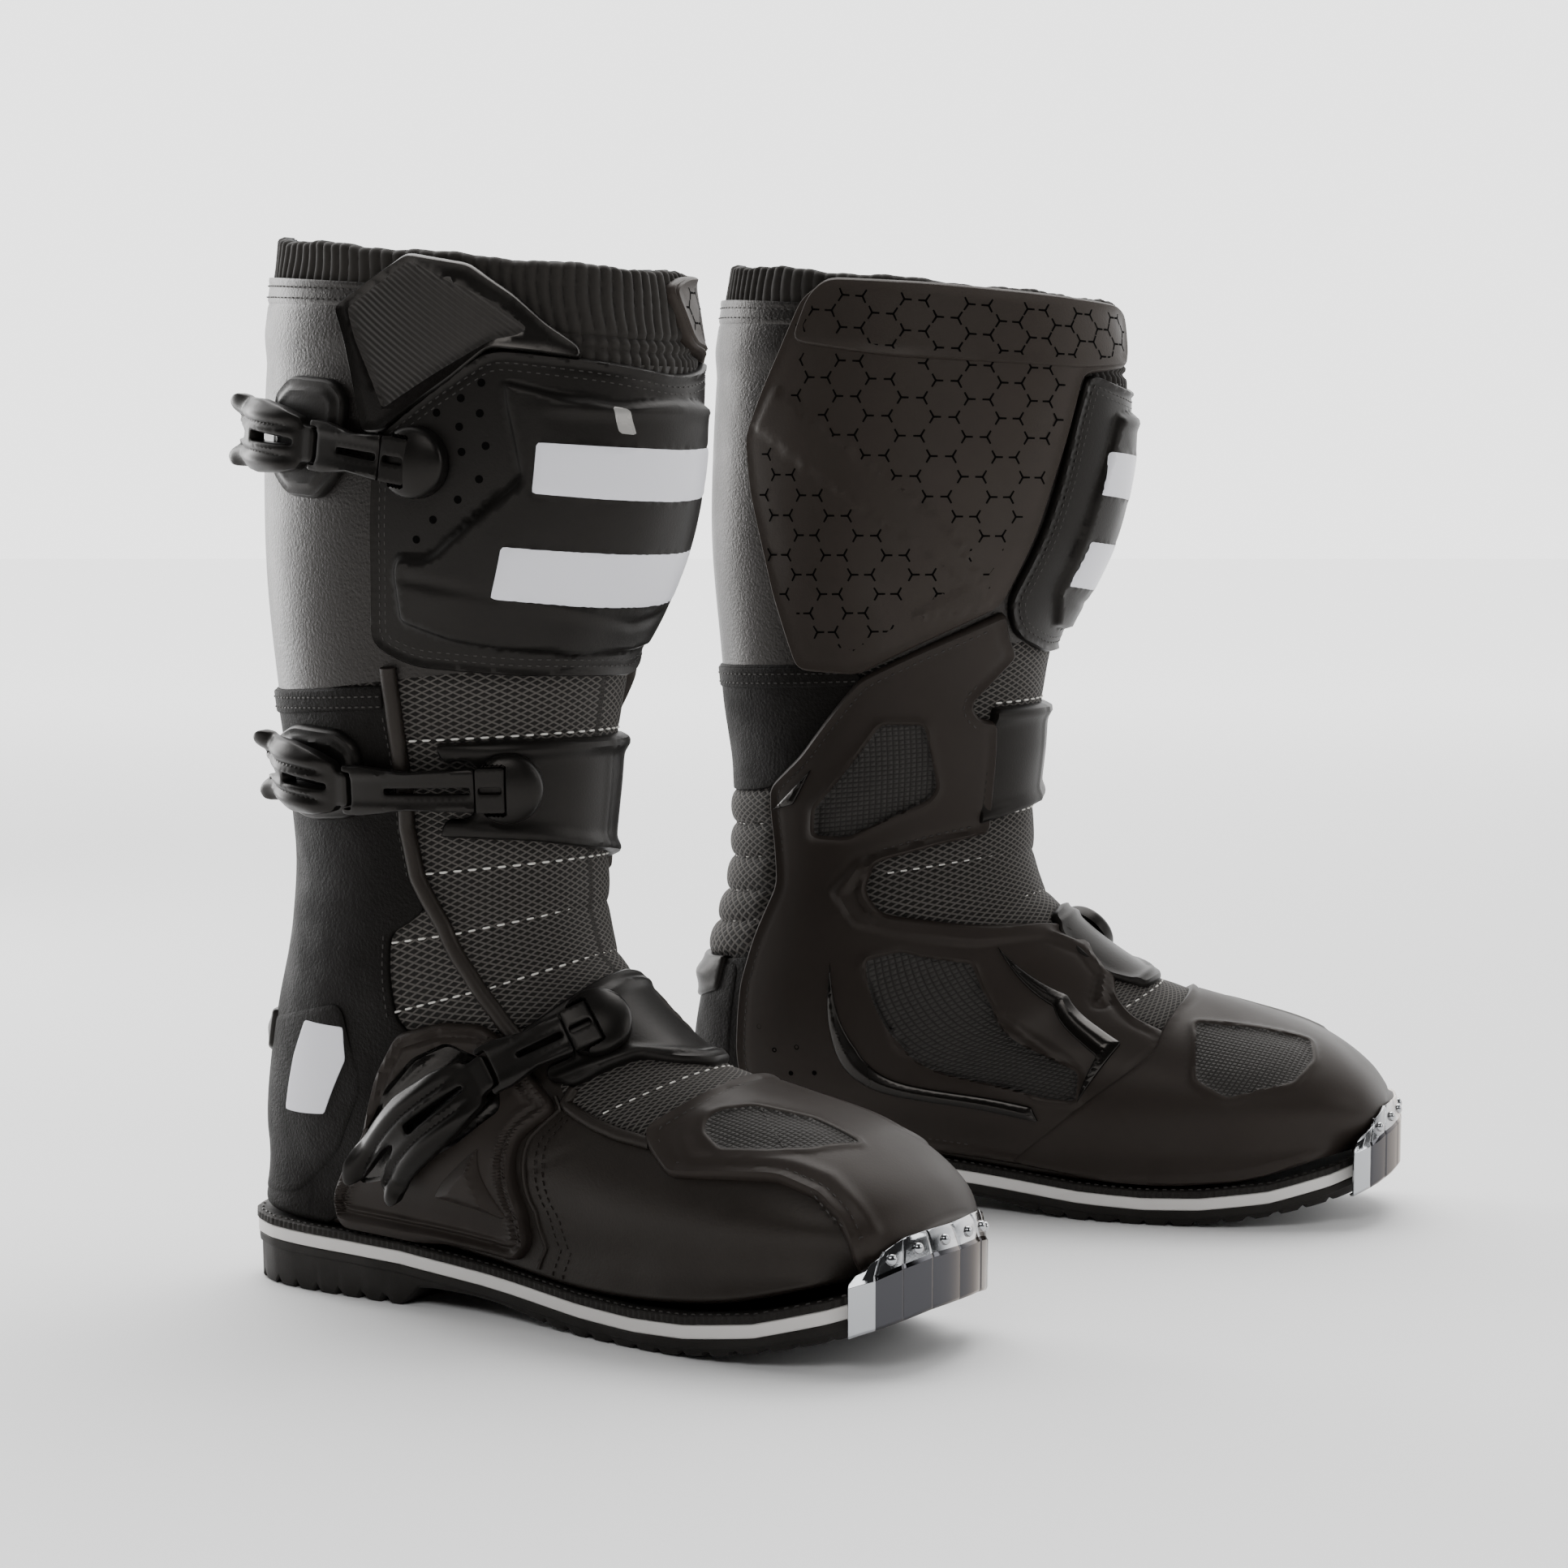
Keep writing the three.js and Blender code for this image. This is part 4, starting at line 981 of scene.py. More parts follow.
lips = [inset(evenly(w, 1.6), g) for w in windows for g in (1.0, -0.6, -1.5, -2.6)]
guard_skin = plate(skin_edge, 2.6, 1.6, 2.0, 0.9, guard_rise, lips, windows)
guard_skin["zone"] = np.minimum(guard_skin["zone"], 1)
soft_pu = plain_finish("soft satin polyurethane skin", "#25201d", 0.44, 0.18,
    (45, 0.4, 0.54), (0.8, 0.03, 0.6, 12))
make_piece("inner_ankle_guard", guard_skin, [soft_pu, grip], "shaft",
    ["medial_guard", "medial_calf_guard"], crease=38, bend=FLEX)
spine = lambda t, a, gap: 0.45 * np.minimum(gap, 4)
make_piece("inner_guard_blades", joined([plate(b, 1.1, 0.5, 1.3, 3.4, spine) for b in blades]),
    [gloss_pu], "shaft", crease=25, bend=FLEX)
# The heel's air holes are near-black spots: painted shade.
make_piece("heel_air_holes", air_holes(HEEL_HOLES, 3.58, 1.1),
    [painted_shade_black], "foot")
border = inset(evenly(skin_edge, 2), 4.6)
border = border[(border[:, 1] < -50) & (border[:, 0] < 9.2) & (border[:, 1] > -150)]
split = np.flatnonzero(np.linalg.norm(np.diff(on_form(*border.T), axis=0), axis=1) > 12)
runs = [r for r in np.split(border, split + 1) if len(r) > 6]
make_piece("inner_guard_stitching", joined([stitches(r, 3.25) for r in runs]),
    [thread], "shaft", bend=FLEX)

# ---- Foot leather, toe guard and instep -------------------------------------------------------
# The vamp is satin leather pulled over the last. A moulded guard caps the toes, with cross-hatched
# pads where the gear lever rubs; a second moulded band crosses the instep and carries the lowest
# strap's button, with a strip of quilted mesh between the two.
TOE_GUARD = np.array([
    [9.20, 28], [9.24, 50], [9.42, 57], [9.89, 68], [10.4, 60], [10.85, 53], [11.38, 54],
    [11.8, 64], [12.06, 80], [12.28, 110], [12.34, 142], [12.7, 150], [12.8, 90], [12.8, 0],
    [12.8, -90], [12.7, -150], [12.3, -146], [11.4, -152], [10.4, -154], [9.52, -152],
    [9.46, -100], [9.52, -60], [9.36, -45], [9.26, -30], [9.16, 0]])
TOE_PADS = [np.array([[9.62, 36], [9.75, 43], [10.06, 48], [10.5, 40], [10.80, 31], [11.10, 12],
    [10.45, 12], [9.79, 20], [9.60, 30]]),
    np.array([[9.62, -36], [10.3, -28], [11.0, -24], [11.16, -40], [11.08, -61],
    [10.51, -78], [10.1, -70]])]
INSTEP_BAND = np.array([
    [6.98, 46], [6.75, 28], [6.58, 10], [6.52, -4], [6.60, -18], [7.0, -24], [8.0, -26],
    [8.62, -20], [8.66, 0], [8.40, 12], [8.02, 22], [8.02, 34], [8.10, 46], [7.82, 50],
    [7.62, 47], [7.60, 38], [7.30, 34], [7.05, 38], [7.12, 47]])
INSTEP_MESH = np.array([[7.9, 48], [8.30, 53], [8.82, 56], [9.12, 56], [9.42, 54], [9.34, 28],
    [9.26, 0], [9.36, -30], [9.38, -46], [8.94, -46], [8.40, -38], [7.9, -24], [7.8, 0], [7.8, 30]])
VAMP_SEAM = np.array([[8.10, 53], [8.33, 56], [8.55, 72], [8.89, 88], [9.30, 108], [9.55, 130],
    [9.62, 150]])

t, a = lines_between((6.45, 5.75), (13.0, 13.0), 120, 150)
c = (1 - np.cos(np.radians(a))) / 2
under_ankle = -1.3 * (1 - smooth(t - (7.0 - 0.9 * c), -0.2, 0.25))
crease_lines = -0.5 * np.exp(-((t - 9.05 - 0.12 * np.sin(np.radians(a) * 3)) / 0.07) ** 2) \
    * bell(a - 78, 26)
foot = sleeve(t, a, under_ankle + crease_lines + 0.5 * smooth(t, 9, 10)
    * np.sin(np.radians(a)) ** 2,
    2.6)
tip = len(foot["points"])
foot["points"] = np.vstack([foot["points"],
    on_form(13.0, np.array([0, 180.0])).mean(0) + [2, 0, 0]])
foot["flat"] = np.vstack([foot["flat"], foot["flat"][-1:]])
around = t.shape[1]
first = (len(t) - 1) * around
foot["faces"] += [(first + i, tip, first + (i + 1) % around) for i in range(around)]
foot["zone"] += [0] * around
make_piece("vamp_and_foot_leather", foot, [satin_leather, lining], "foot", ["foot_shell"],
    crease=50)
make_piece("vamp_seam_cord", joined([tube(VAMP_SEAM, 0.1, 1.1, 8)]
    + [stitches(VAMP_SEAM + [g, 0], 0.35)
    for g in (0.10, 0.17)]), [satin_leather], "foot")

toe_edge = rounded(TOE_GUARD, 3)
pads = [rounded(p, 2) for p in TOE_PADS]
BROW = np.array([[9.50, 33], [9.60, 48], [9.92, 58], [10.35, 50], [10.85, 42], [11.3, 40],
    [11.8, 48], [12.2, 62]])


def toe_rise(t, a, gap):
    """Thick at the upper edge, thinning to the sole; pads sunk 0.5 mm inside a raised lip; one
    broad crease runs from the outer pad down to the toe cap."""
    place = on_form(t, a)
    rise = 0.8 * bell(gap - 1.9, 1.2) * smooth(np.abs(a + 100), 45, 60) \
        - 0.4 * bell(gap - 4.6, 0.9) * smooth(a, -40, -20)
    for p in pads:
        d = np.where(within(p, t, a), 1, -1) * gap_to(p, place)
        rise += 0.7 * bell(d + 1.2, 1.1) - 0.6 * smooth(d, -0.3, 0.8) \
            + 0.5 * smooth(d, 2, 10)
    brow = gap_to(BROW, place, False)
    return rise + 0.9 * bell(brow, 2.2)


toe_guard = plate(toe_edge, 2.5, 1.5, 2.0, 1.0, toe_rise,
    [inset(evenly(p, 1.6), g) for p in pads for g in (0.9, -0.6, -1.6, -2.6)], pads)
toe_guard["zone"] = np.minimum(toe_guard["zone"], 1)
make_piece("toe_guard_skin", toe_guard, [soft_pu, grip], "foot", ["toe_guard"], crease=38)
row = inset(evenly(toe_edge, 2), 4.6)
row = row[(row[:, 1] > 5) & (row[:, 0] < 12.2)]
make_piece("toe_guard_stitching", stitches(row, 3.15), [thread], "foot")

instep_edge = rounded(INSTEP_BAND, 2.5)


def instep_rise(t, a, gap):
    """A rolled rim 1.4 mm high, and two ridges across that leave a hollow for the button."""
    low = np.interp(a, [-26, 0, 22, 50], [8.42, 8.42, 7.88, 7.88])
    high = np.interp(a, [-26, 0, 28, 50], [6.82, 6.78, 6.98, 7.14])
    ridges = np.exp(-((t - low) * 30 / 2.6) ** 2) + np.exp(-((t - high) * 30 / 2.2) ** 2)
    return 1.2 * ridges * smooth(gap, 0.3, 2) + 0.5 * bell(gap - 1.6, 0.9)


make_piece("instep_strap_band", plate(instep_edge, 2.4, 1.4, 1.6, 1.6, instep_rise), [guard_pu],
    "foot", ["instep_band"])
mesh_puff = lambda t, a, gap: (0.9
    * np.sqrt(np.clip(np.abs(np.sin((t - 8.02) * np.pi / 0.68)), 0, 1))
    * smooth(gap, 0, 3))
for pad in make_piece("instep_mesh", plate(rounded(INSTEP_MESH, 2), 0.7, 0.8, 2.0, 0.2, mesh_puff),
    [mesh_knit], "foot"):
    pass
make_piece("instep_piping", tube(np.array([[8.12, 47], [8.30, 53.5], [8.82, 57], [9.12, 57.5],
    [9.44, 56]]), 1.0, 2.4), [satin_leather], "foot")
make_piece("instep_white_stitches", stitches(np.array([[8.72, 50], [8.70, 19], [8.70, -10],
    [8.72, -36]]), 1.0, False, 3.4, 1.7, 0.4), [white_thread], "foot")

# ---- Outer ankle guard and heel ---------------------------------------------------------------
# Over the outer ankle bone lies a facetted guard with a thick curved edge, a sunk bed in which the
# lowest buckle closes, and a raised triangle near the sole. The heel stiffener shows as a faint
# step in the leather; a plain white patch is printed on it, and a stop juts out above it.
ANKLE_GUARD = np.array([
    [6.52, 80], [6.55, 66], [6.72, 55], [7.15, 50], [7.70, 52], [8.14, 54], [8.36, 58], [8.48, 72],
    [8.84, 89], [9.24, 108], [9.46, 130], [9.50, 150], [8.9, 156], [8.45, 152], [8.30, 140],
    [7.9, 118], [7.54, 101], [6.87, 89]])
BUCKLE_BED = np.array([[7.62, 101], [7.1, 88], [6.84, 77], [6.80, 66], [7.14, 60], [7.6, 60],
    [8.0, 66], [8.2, 84], [8.25, 104], [8.1, 116]])
TRIANGLE = np.array([[8.62, 112], [8.38, 82], [9.26, 116]])
HEEL_COUNTER = np.array([[6.05, 100], [6.04, 140], [6.06, 180], [6.05, 222], [6.8, 222],
    [7.4, 216], [7.70, 200], [7.69, 180], [7.70, 158], [7.92, 140], [7.6, 112], [6.9, 94]])
HEEL_PATCH = np.array([[6.14, 117], [6.30, 99], [6.62, 99], [7.08, 111], [6.86, 129], [6.42, 123]])
HEEL_STOP = np.array([[5.98, 146], [5.94, 180], [5.98, 214], [6.30, 212], [6.36, 180], [6.30, 148]])

ankle_edge = rounded(ANKLE_GUARD, 4)
bed = rounded(BUCKLE_BED, 3)


def ankle_rise(t, a, gap):
    """A rounded edge ridge and a second one 6 mm inside it, the bed sunk 1.4 mm with two steps, and
    slanting ribs across the bed; the triangle, a three-sided pyramid rising to 2.6 mm, is a piece
    of its own."""
    place = on_form(t, a)
    rise = 1.4 * bell(gap - 2.2, 1.4) - 0.5 * bell(gap - 5.0, 0.9) \
        + 0.7 * bell(gap - 7.0, 1.1)
    d = np.where(within(bed, t, a), gap_to(bed, place), 0)
    rise -= 1.5 * smooth(d, 0, 1.2)
    rise += 0.8 * smooth(np.sin((t - a / 60) * 18), 0.2, 0.9) * smooth(d, 2, 4)
    return rise


make_piece("outer_ankle_guard", plate(ankle_edge, 2.2, 1.4, 1.7, 1.4, ankle_rise,
    [inset(evenly(bed, 1.6), 1.2)], [bed]), [soft_pu, gloss_pu], "foot", ["ankle_guard"])
facet = lambda t, a, gap: 0.6 * np.minimum(gap, 4.5)
make_piece("ankle_guard_triangle", plate(rounded(TRIANGLE, 1, 3), 0.9, 0.6, 1.4, 3.0, facet),
    [soft_pu], "foot", crease=22)
make_piece("heel_stiffener", plate(rounded(HEEL_COUNTER, 6), 0.5, 2.2, 2.2, 1.15), [ankle_leather],
    "foot", ["heel_counter"])
make_piece("heel_patch", plate(rounded(HEEL_PATCH, 1.2), 0.25, 0.4, 1.8, 1.66, sink=-1.3),
    [white_ink], "foot")
stop_rise = lambda t, a, gap: (2.6 * smooth(np.abs(a - 180), 34, 12)
    * bell(t - 6.14, 0.09))
make_piece("heel_stop", plate(rounded(HEEL_STOP, 2), 2.0, 1.4, 1.8, 1.2, stop_rise), [guard_pu],
    "foot")

# ---- Sole, welt and toe cap -------------------------------------------------------------------
# The upper is stitched to a wheel-marked rubber welt, glued over a white rubber strip and a black
# rubber outsole with cross bars under the heel and the ball. A cap of bent polished steel is
# riveted round the toe end of all three layers. A moulded foam footbed lies inside.
FOOTBED_OUTLINE = np.array([[26, 12, 33.5], [45, 22, 33.5], [75, 26, 33], [100, 26, 32],
    [130, 25, 29.5], [172, 29, 25], [205, 31, 25], [230, 30, 27.5], [250, 24, 32], [262, 15, 35.5]])
WHITE_STRIP = (-3.2, -8.3)
LUG_PITCH = 11.0


def slab(layers, table=SOLE, across=2, step=2.0):
    """A lofted slab whose plan follows the table. Each layer is (offset outwards, height), the
    height a number above the welt line or a function of x and of the place across from -1 to 1.
    Caps join the two sides, with across columns between them."""
    dense = np.concatenate([np.linspace(a, b, 5, endpoint=False) for a, b in
        zip(table[:-1, 0], table[1:, 0])] + [table[-1:, 0]])
    half = np.interp(dense, table[:, 0], table[:, 1])
    half = np.convolve(np.pad(half, 3, "edge"), np.ones(7) / 7, "valid")
    half[[0, -1]] = table[[0, -1], 1]
    run = np.concatenate([[0], np.hypot(np.diff(dense), np.diff(half)).cumsum()])
    n = int(run[-1] / step)
    x = np.interp(np.linspace(0, run[-1], n), run, dense)
    half = np.interp(np.linspace(0, run[-1], n), run, half)
    middle = 5 * smooth(x, 90, 190)
    loop = np.concatenate([np.stack([x, middle - half], -1),
        np.stack([x, middle + half], -1)[::-1]])
    ahead = np.roll(loop, -1, 0) - np.roll(loop, 1, 0)
    side = np.stack([ahead[:, 1], -ahead[:, 0]], -1)
    side /= np.linalg.norm(side, axis=1, keepdims=True)
    v = np.concatenate([np.full(n, -1.0), np.full(n, 1.0)])
    height = lambda high, px, pv: (high(px, pv) if callable(high)
        else np.interp(px, *WELT_TOP.T) + high)
    rings = []
    for out, high in layers:
        out = out(loop[:, 0]) if callable(out) else out
        p = loop + side * np.reshape(out * np.ones(2 * n), (-1, 1))
        rings.append(np.column_stack([p, height(high, p[:, 0], v)]))
    points, faces, count = np.concatenate(rings), [], 2 * n
    for r in range(len(layers) - 1):
        i = np.arange(count)
        j = (i + 1) % count
        faces += np.stack([r * count + i, r * count + j, (r + 1) * count + j, (r + 1) * count + i],
            -1).tolist()
    for r, flip in ((0, False), (len(layers) - 1, True)):
        grid = np.zeros((n, across + 1), int)
        base = r * count
        grid[:, 0], grid[:, -1] = base + np.arange(n), base + count - 1 - np.arange(n)
        for m in range(1, across):
            f = m / across
            p = points[grid[:, 0]] * (1 - f) + points[grid[:, -1]] * f
            if callable(layers[r][1]):
                p[:, 2] = layers[r][1](p[:, 0], np.full(n, 2 * f - 1))
            grid[:, m] = len(points) + np.arange(n)
            points = np.vstack([points, p])
        quads = np.stack([grid[:-1, :-1], grid[1:, :-1], grid[1:, 1:], grid[:-1, 1:]],
            -1).reshape(-1, 4)
        faces += (quads[:, ::-1] if flip else quads).tolist()
    return {"points": points, "faces": faces}


def under(x, v):
    """Underside height: the table's, with slots between cross bars and one channel down the
    middle, deepest under the heel and the ball of the foot."""
    base = np.interp(x, SOLE[:, 0], SOLE[:, 2])
    slot = smooth(np.abs((x / LUG_PITCH) % 1 - 0.5), 0.36, 0.43)
    channel = smooth(np.abs(v), 0.14, 0.08)
    depth = 2.6 * (x < 86) + 1.8 * smooth(x, 140, 152) * smooth(x, 288, 270)
    return base + depth * np.maximum(slot, channel)


# Vulcanised black rubber, dull, slightly dusty.
rubber = plain_finish("vulcanised black rubber", "#131211", 0.68, 0.35,
    (22, 0.6, 0.78), (0.7, 0.08, 0.6, 8))
# White rubber strip between welt and outsole, satin and slightly soiled.
white_rubber = plain_finish("white moulded midsole rubber", "#d8d5d2", 0.5, 0.35,
    (16, 0.44, 0.6), (0.8, 0.03, 0.5, 10))

wall = lambda rise: lambda x, v: under(x, v) + rise
outsole = slab([(-5.0, WHITE_STRIP[1] + 0.3), (0.3, WHITE_STRIP[1] + 0.3),
    (0.9, WHITE_STRIP[1] - 0.6),
    (0.6, WHITE_STRIP[1] - 3.2), (-0.1, WHITE_STRIP[1] - 3.9),
    (-0.4, lambda x, v: np.minimum(under(x, v) + 1.6, np.interp(x, *WELT_TOP.T) - 13)),
    (-0.9, wall(0.5)), (-1.7, wall(0))], across=20, step=1.8)
make_piece("rubber_outsole", outsole, [rubber], "foot", ["outsole"], crease=30)
strip = slab([(-6.0, WHITE_STRIP[0]), (0.7, WHITE_STRIP[0]), (1.2, WHITE_STRIP[0] - 0.5),
    (1.2, WHITE_STRIP[1] + 0.5), (0.7, WHITE_STRIP[1]), (-6.0, WHITE_STRIP[1])], step=2.4)
make_piece("white_midsole_strip", strip, [white_rubber], "foot")
marked = lambda base, deep: lambda x: base - deep * np.abs(np.sin(x * np.pi / 2.6)) ** 3
welt = slab([(-8.0, 0.0), (0.9, 0.0), (marked(1.7, 0.5), -0.5), (marked(1.8, 0.5), -2.6),
    (1.2, -3.15), (-6.0, -3.15)], step=0.75)
make_piece("wheel_marked_welt", welt, [rubber], "foot", ["welt"])

x = np.arange(2, 284, 3.6)
half = np.interp(x, SOLE[:, 0], SOLE[:, 1]) - 0.9
middle, top = 5 * smooth(x, 90, 190), np.interp(x, *WELT_TOP.T) + 0.1
sides = [np.stack([x, middle + s * half, top], -1) for s in (-1, 1)]
sewn = [stamped(*spindle(1.2, 0.7, 0.42, 0.3), line, np.gradient(line, axis=0),
    np.tile([0, 0, 1.0], (len(line), 1))) for line in sides]
make_piece("welt_stitching", joined(sewn), [thread], "foot")

bed_height = lambda rise: lambda x, v: (np.interp(x, FOOTBED_OUTLINE[:, 0], FOOTBED_OUTLINE[:, 2])
    + rise
    + 1.2 * v * v * (rise > 1))
footbed = slab([(-1.0, bed_height(0.0)), (0, bed_height(0.6)), (0, bed_height(3.0)),
    (-1.2, bed_height(3.9))][::-1], FOOTBED_OUTLINE, across=8, step=4)
foam, tree, shader, where = surface("knit covered moulded foam", "#3a3b3d", 0.9,
    Specular_IOR_Level=0.15, Sheen_Weight=0.2)
grain(tree, shader, where, 1.2, 0.25)
for pad in make_piece("moulded_footbed", footbed, [foam], "foot", ["insole"]):
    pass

# Toe cap: nine fold lines, as places round the sole (x, y) and on the toe (station, angle).
FOLD_FEET = np.array([[284, -37.5], [290.5, -31], [296, -22], [300.3, -10.5], [301.5, 5],
    [300.3, 20.5], [296, 32], [290.5, 41], [284, 47.5]], float)
FOLD_TOPS = np.array([[12.36, 98], [12.42, 76], [12.52, 56], [12.64, 36], [12.72, 6], [12.65, -26],
    [12.53, -48], [12.43, -72], [12.37, -94]])
bright_steel, tree, shader, where = surface("polished bent steel", "#a9abae", 0.1, Metallic=1.0)
worn(tree, shader, where, 14, 0.07, 0.2)
scratch = add_node(tree, "ShaderNodeTexNoise", {"Vector": where, "Scale": 700.0, "Detail": 5.0})
bump = add_node(tree, "ShaderNodeBump", {"Height": scratch.outputs["Fac"], "Strength": 0.12,
    "Distance": 0.0002})
tree.links.new(bump.outputs["Normal"], shader.inputs["Normal"])

# The folded front faces of the cap take a darker copy of the same steel: painted shade standing in
# for the dim reflections there.
steel_painted_shade, tree, shader, where = surface("polished steel darkened as painted shade", "#47474a", 0.1, Metallic=1.0)
worn(tree, shader, where, 14, 0.07, 0.2)
cols = []
centre = np.array([262.0, 5.0])
for foot_at, top_at in zip(FOLD_FEET, FOLD_TOPS):
    way = (foot_at - centre) / np.linalg.norm(foot_at - centre)
    edge = foot_at + way * 2.6
    welt_z = np.interp(foot_at[0], *WELT_TOP.T)
    low_z = np.interp(foot_at[0], SOLE[:, 0], SOLE[:, 2]) + 0.4
    top = on_form(top_at[0], top_at[1], 5.2)
    shelf = np.array([*(edge - way * 0.8), welt_z + 4.4])
    column = [np.array([*(edge - way * 3.5), low_z - 0.6]), np.array([*(edge - way * 0.6), low_z]),
        np.array([*(edge - way * 0.1), low_z + 1.0]), np.array([*edge, welt_z + 3.0]), shelf]
    column += [shelf + (top - shelf) * f + np.array([0, 0, 1.3 * math.sin(math.pi * f)])
        for f in (0.3, 0.6, 0.85, 1.0)]
    cols.append(column)
cols = np.array(cols)
fine = []
for i in range(8):
    for f in (0.0, 0.07, 0.5, 0.93):
        p = cols[i] * (1 - f) + cols[i + 1] * f
        dent = -0.55 * (1 - abs(2 * f - 1)) if f == 0.5 else (0.45 if f == 0.0 and i > 0 else 0)
        away = np.append((p[3, :2] - centre) / np.linalg.norm(p[3, :2] - centre), 0.35)
        fine.append(p + away * -dent)
fine.append(cols[8])
fine = np.array(fine)
n, m = fine.shape[:2]
i, j = np.meshgrid(np.arange(n - 1), np.arange(m - 1), indexing="ij")
quads = np.stack([i * m + j, (i + 1) * m + j, (i + 1) * m + j + 1, i * m + j + 1], -1).reshape(-1,
    4)
cap = {"points": fine.reshape(-1, 3), "faces": [tuple(f) for f in quads.tolist()]}
for piece in make_piece("bent_steel_toe_cap", cap, [bright_steel], "foot", ["toe_cap"],
    crease=20):
    # The lower wall rows of the middle folds take the darker steel: painted shade.
    piece.data.materials.append(steel_painted_shade)
    for face in piece.data.polygons:
        x_order = face.index // (m - 1)
        face.material_index = int(4 <= x_order < 28 and face.index % (m - 1) < 4)
    plate_thick = piece.modifiers.new("sheet steel", "SOLIDIFY")
    plate_thick.thickness, plate_thick.offset = 0.0011, -1
    folds = piece.modifiers.new("folded edges", "BEVEL")
    folds.width, folds.segments, folds.angle_limit = 0.00045, 2, math.radians(24)
rivets = []
for i in (1, 2, 3, 4, 5, 6):
    a0, b0 = cols[i], cols[i + 1]
    rivets.append(((a0[5] + b0[5]) / 2, (a0[6] - a0[4] + b0[6] - b0[4]), b0[5] - a0[5]))
where3 = np.array([r[0] for r in rivets])
up3 = np.array([np.cross(r[2], r[1]) for r in rivets])
up3 /= np.linalg.norm(up3, axis=1, keepdims=True)
up3 *= np.sign((up3 * (where3 - [262, 5, 20])).sum(1, keepdims=True))
head = turned_shape(((2.1, -0.6), (2.1, 0.2), (1.7, 0.9), (0.9, 1.3)), 1.4, 14)
make_piece("toe_cap_rivets", stamped(*head, where3 + up3 * 0.7, np.array([r[2] for r in rivets]),
    up3),
    [bright_steel], "foot", crease=50)

# ---- Buckles ----------------------------------------------------------------------------------
# Three buckles close each boot. A domed button screwed to the band holds one end of a slotted
# strap; the strap carries a forked lever, and the lever snaps down over a ribbed base plate. All
# are injection-moulded nylon. Strap and lever are bodies of their own; on the real boot they turn
# on their pins.
BUTTON = 13.0
STRAP_LEVEL = 8.6
BUCKLES = {  # corners of the run in (t, a): button, pin at the lever, middle, tail, and beyond
    "upper": np.array([[1.56, 74.5], [1.46, 101], [1.40, 122], [1.36, 141], [1.33, 158]]),
    "mid": np.array([[3.88, 40], [3.80, 92], [3.68, 112], [3.58, 136], [3.52, 152]]),
    "lower": np.array([[7.30, 25], [7.38, 58], [7.75, 84], [8.15, 108], [8.3, 116]])}
BASES = {"upper": np.array([[1.02, 101], [0.99, 117], [1.12, 125], [1.64, 125], [1.78, 117],
    [1.80, 104], [1.64, 97], [1.14, 96]]),
    "mid": np.array([[3.36, 98], [3.31, 120], [3.40, 139], [3.94, 137], [4.06, 118], [4.07, 98],
    [3.94, 90], [3.48, 91]])}


def flat_loop(corners, radius, step, count=6):
    """A closed loop of flat (x, y) mm corners, rounded by radius and resampled every step mm."""
    c = np.asarray(corners, float)
    before, after = np.roll(c, 1, 0), np.roll(c, -1, 0)
    cut = lambda o: c + (o - c) * np.minimum(0.45, radius / np.linalg.norm(o - c, axis=1))[:, None]
    s = np.linspace(0, 1, count)[None, :, None]
    p = (cut(before)[:, None] * (1 - s) ** 2 + 2 * c[:, None] * s * (1 - s)
        + cut(after)[:, None] * s ** 2).reshape(-1, 2)
    p = np.vstack([p, p[:1]])
    run = np.concatenate([[0], np.linalg.norm(np.diff(p, axis=0), axis=1).cumsum()])
    at = np.linspace(0, run[-1], max(8, int(run[-1] / step)) + 1)[:-1]
    return np.stack([np.interp(at, run, p[:, k]) for k in (0, 1)], -1)


def flat_gap(loops, p):
    """Distance in mm from flat points to the nearest of the closed loops."""
    best = np.full(len(p), 1e9)
    for loop in loops:
        e = np.roll(loop, -1, 0) - loop
        d = p[:, None] - loop
        f = np.clip((d * e).sum(-1) / ((e * e).sum(-1) + 1e-12), 0, 1)
        best = np.minimum(best, np.linalg.norm(d - f[..., None] * e, axis=-1).min(1))
    return best


